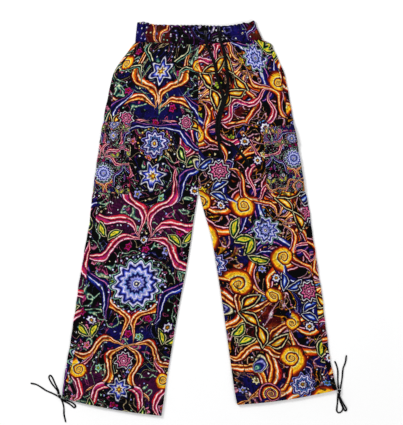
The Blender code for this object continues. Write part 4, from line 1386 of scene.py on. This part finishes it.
def tape_rings(points, widths, thick, twist, sides):
    """Rounded-rectangle sections along a line; the tape lies flat where twist is 0."""
    _, beside, above = directions(np.gradient(points, axis=0))
    turn = twist[:, None]
    across = beside * np.cos(turn) + above * np.sin(turn)
    upward = above * np.cos(turn) - beside * np.sin(turn)
    angles = np.arange(sides) * tau / sides
    wide, high = flattened(np.cos(angles), 0.6), flattened(np.sin(angles), 0.8)
    return (points[:, None] + across[:, None] * (widths[:, None] / 2 * wide)[..., None]
            + upward[:, None] * (thick / 2 * high)[None, :, None])


def tape_cord(name, points, size, twist, material, far_end="bare"):
    """A woven tape along a line of points, closed at both ends, in a cord's place."""
    widths = size["width"] * (1 + 0.05 * np.sin(np.arange(len(points)) / 2.7))
    if far_end == "bare":
        widths[-2:] *= (0.92, 0.7)
    rings = tape_rings(points, widths, size["thick"], twist, TAPE_SIDES)
    rings[..., 2] = np.maximum(rings[..., 2], LOWEST)
    faces = grid_faces(*rings.shape[:2], ring_columns=True).tolist()
    faces.append(list(range(TAPE_SIDES))[::-1])
    faces.append([(len(rings) - 1) * TAPE_SIDES + k for k in range(TAPE_SIDES)])
    item = mesh_object(f"{name}_tape", rings, faces, material, name)
    float(run_along(points)[-1]) * MM


def surface_reader(pieces):
    """A function that gives the top of these pieces at a place in plan, in millimetres."""
    graph = bpy.context.evaluated_depsgraph_get()
    trees = [BVHTree.FromObject(piece, graph) for piece in pieces]

    def top(x, y):
        start = Vector((x * MM, y * MM, 0.1))
        found = [tree.ray_cast(start, Vector((0, 0, -1)))[0] for tree in trees]
        return max((hit.z for hit in found if hit), default=0.0) / MM
    return top


def drawstring_line(points, top, over_first):
    """The strand laid on the cloth: it bridges the gathers, as a tape does."""
    flat = even_route(points, TAPE_STEP)
    half = TAPE["width"] / 2
    under = np.array([max(top(x + dx, y + dy) for dx in (-half, 0, half) for dy in (-3, 0, 3))
                      for x, y in flat])
    reach = np.array([under[max(i - 3, 0):i + 4].max() for i in range(len(under))])
    span = 2 * BRIDGE + 1
    smooth = np.convolve(np.pad(reach, BRIDGE, mode="edge"), np.ones(span) / span, mode="valid")
    z = np.maximum(smooth, under) + TAPE["thick"] / 2 + TAPE_AIR
    if over_first:
        (low, high), ramp = CROSSING_Y, CROSSING["ramp"]
        hump = rise(low - ramp, low, flat[:, 1]) - rise(high, high + ramp, flat[:, 1])
        z = z + hump * (TAPE["thick"] + CROSSING["air"])
    start = 1 - rise(0, 6, np.arange(len(flat)))
    return np.column_stack((flat, z - SUNK * start))


def drawstrings(top, material):
    for name, flat_route in DRAWSTRINGS.items():
        points = drawstring_line(flat_route, top, over_first=name.endswith("2"))
        place = np.linspace(0, 1, len(points))
        lean = 0.16 * np.sin(11 * place + len(flat_route)) + 0.10 * np.sin(29 * place)
        tape_cord(name, points, TAPE, lean * rise(0, 0.1, place), material)


def knot_piece(side, centre, material):
    """The tie's knot, pulled tight: a trefoil of the tape itself."""
    count, sides, strand = KNOT["points"], KNOT["sides"], KNOT["strand"]
    t = np.linspace(0, tau, count, endpoint=False)
    scale = KNOT["reach"] / 3
    line = np.stack((centre[0] + scale * (np.sin(t) + 2 * np.sin(2 * t)),
                     centre[1] + scale * (np.cos(t) - 2 * np.cos(2 * t)),
                     KNOT_Z - KNOT["flat"] * np.sin(3 * t)), axis=1)
    padded = np.concatenate((line[-1:], line, line[:1]))
    rings = tape_rings(padded, np.full(count + 2, 2.1 * strand), 1.5 * strand,
                       np.full(count + 2, 0.5), sides)[1:-1]
    faces = grid_faces(count, sides, ring_rows=True, ring_columns=True).tolist()
    name = f"ankle_knot_{side}"
    return mesh_object(f"{name}_tape", rings, faces, material, name)


def ankle_ties(material):
    """Tails and loops of both bows, each leaving its knot."""
    knots = {side: knot_piece(side, centre, material) for side, centre in KNOTS.items()}
    for name, tie_route in TIE_ROUTES.items():
        tie_route = [(*point, TIE_Z)[:3] for point in tie_route]
        points = even_route(tie_route, TIE_STEP)
        place = np.linspace(0, 1, len(points))
        lean = 0.22 * np.sin(9 * place + len(name) + sum(tie_route[1]))
        _, kind, side, _ = name.split("_")
        tape_cord(name, points, TIE, lean * np.sin(pi * place), material,
                  far_end="object" if kind == "loop" else "bare")


# ======== camera, light and floor
VIEW_MIDDLE = (0.0052, 0.01495)         # the photograph's middle, in the part's frame
VIEW_HEIGHT = 3.0
VIEW_TALL = 1.105                       # what the frame's taller side takes in
SENSOR = 36.0
WORLD_STRENGTH = 0.60
# Soft lights aimed at the middle: place, size and power, a little stronger at upper left.
LIGHTS = {"key": ((-1.7, 1.6, 1.6), 0.9, 62.0), "fill": ((1.9, -1.2, 2.0), 1.6, 22.0)}
FLOOR_REACH, FLOOR_DROP = 6.0, 0.0004


def camera():
    data = bpy.data.cameras.new("camera")
    data.sensor_width = SENSOR
    data.lens = SENSOR * VIEW_HEIGHT / VIEW_TALL
    item = add_object("camera", data)
    item.location = (*VIEW_MIDDLE, VIEW_HEIGHT)
    bpy.context.scene.camera = item


def studio():
    """A pale floor under soft light."""
    scene = bpy.context.scene
    scene.view_settings.view_transform = "Standard"
    scene.world = bpy.data.worlds.new("studio")
    scene.world.use_nodes = True
    inputs = scene.world.node_tree.nodes["Background"].inputs
    inputs["Color"].default_value = (1.0, 1.0, 1.0, 1)
    inputs["Strength"].default_value = WORLD_STRENGTH
    for name, (place, size, power) in LIGHTS.items():
        data = bpy.data.lights.new(name, "AREA")
        data.shape, data.size, data.energy = "DISK", size, power
        item = add_object(name, data)
        item.location = place
        item.rotation_euler = (-Vector(place)).to_track_quat("-Z", "Y").to_euler()
    mesh = bpy.data.meshes.new("floor")
    corners = ((-1, -1), (1, -1), (1, 1), (-1, 1))
    mesh.from_pydata([(x * FLOOR_REACH, y * FLOOR_REACH, 0) for x, y in corners], [],
                     [(0, 1, 2, 3)])
    mesh.materials.append(mottled("paper", 0.9, 3.0, 2.0, (0.3, (0.90, 0.90, 0.90)),
                                  (0.7, (0.92, 0.92, 0.925))))
    floor = add_object("floor", mesh)
    floor.location.z = -FLOOR_DROP


# ======== putting it together
SHEETS = {"back_leg": (0.33, 1.02), "front_leg": (0.30, 1.02), "pocket": (0.20, 0.16),
          "pocket_flap": (0.20, 0.06)}      # flat sizes in metres; each lies on the last


def flat_area(item):
    """The cloth's area as it was cut, in square metres: half the shell's own surface."""
    graph = bpy.context.evaluated_depsgraph_get()
    mesh = item.evaluated_get(graph).to_mesh()
    return sum(face.area for face in mesh.polygons) / 2


def build():
    camera()
    studio()
    # Woven black tape, a little paler where it is rubbed, and dark sewing thread.
    tape = mottled("black_tape_woven", 0.68, 160.0, 3.0, (0.30, (0.001, 0.001, 0.0015)),
                   (0.75, (0.005, 0.005, 0.006)), gloss=0.05, weave=(0.0011, 0.7))
    thread = mottled("sewing_thread", 0.5, 900.0, 1.0, (0.35, (0.012, 0.010, 0.016)),
                     (0.70, (0.050, 0.045, 0.060)))
    night, sun, speckle = (printed_cloth(name, design) for name, design in (
        ("night", NIGHT), ("sun", SUN), ("speckle", SPECKLE)))
    pieces = {}
    for side, leg in LEGS.items():
        for part in ("back", "front"):
            pieces[f"{part}_leg_{side}"] = leg_panel(side, leg, part,
                                                     night if side == "right" else sun)
        for kind, *form in pocket_parts(leg):
            pieces[f"{kind}_{side}"] = pocket_piece(side, leg, kind, *form, night)
        leg_stitching(side, leg, thread)
    band = waistband(speckle)
    band_stitching(thread)

    top = surface_reader([pieces["front_leg_right"], pieces["front_leg_left"], band])
    for name, points in DRAWSTRINGS.items():
        buttonhole(f"buttonhole_{name[-1]}", points[0], top, thread)
    drawstrings(top, tape)
    ankle_ties(tape)

    for side in LEGS:
        for kind, flat in SHEETS.items():
            piece = pieces[f"{kind}_{side}"]
            flat_area(piece)


build()
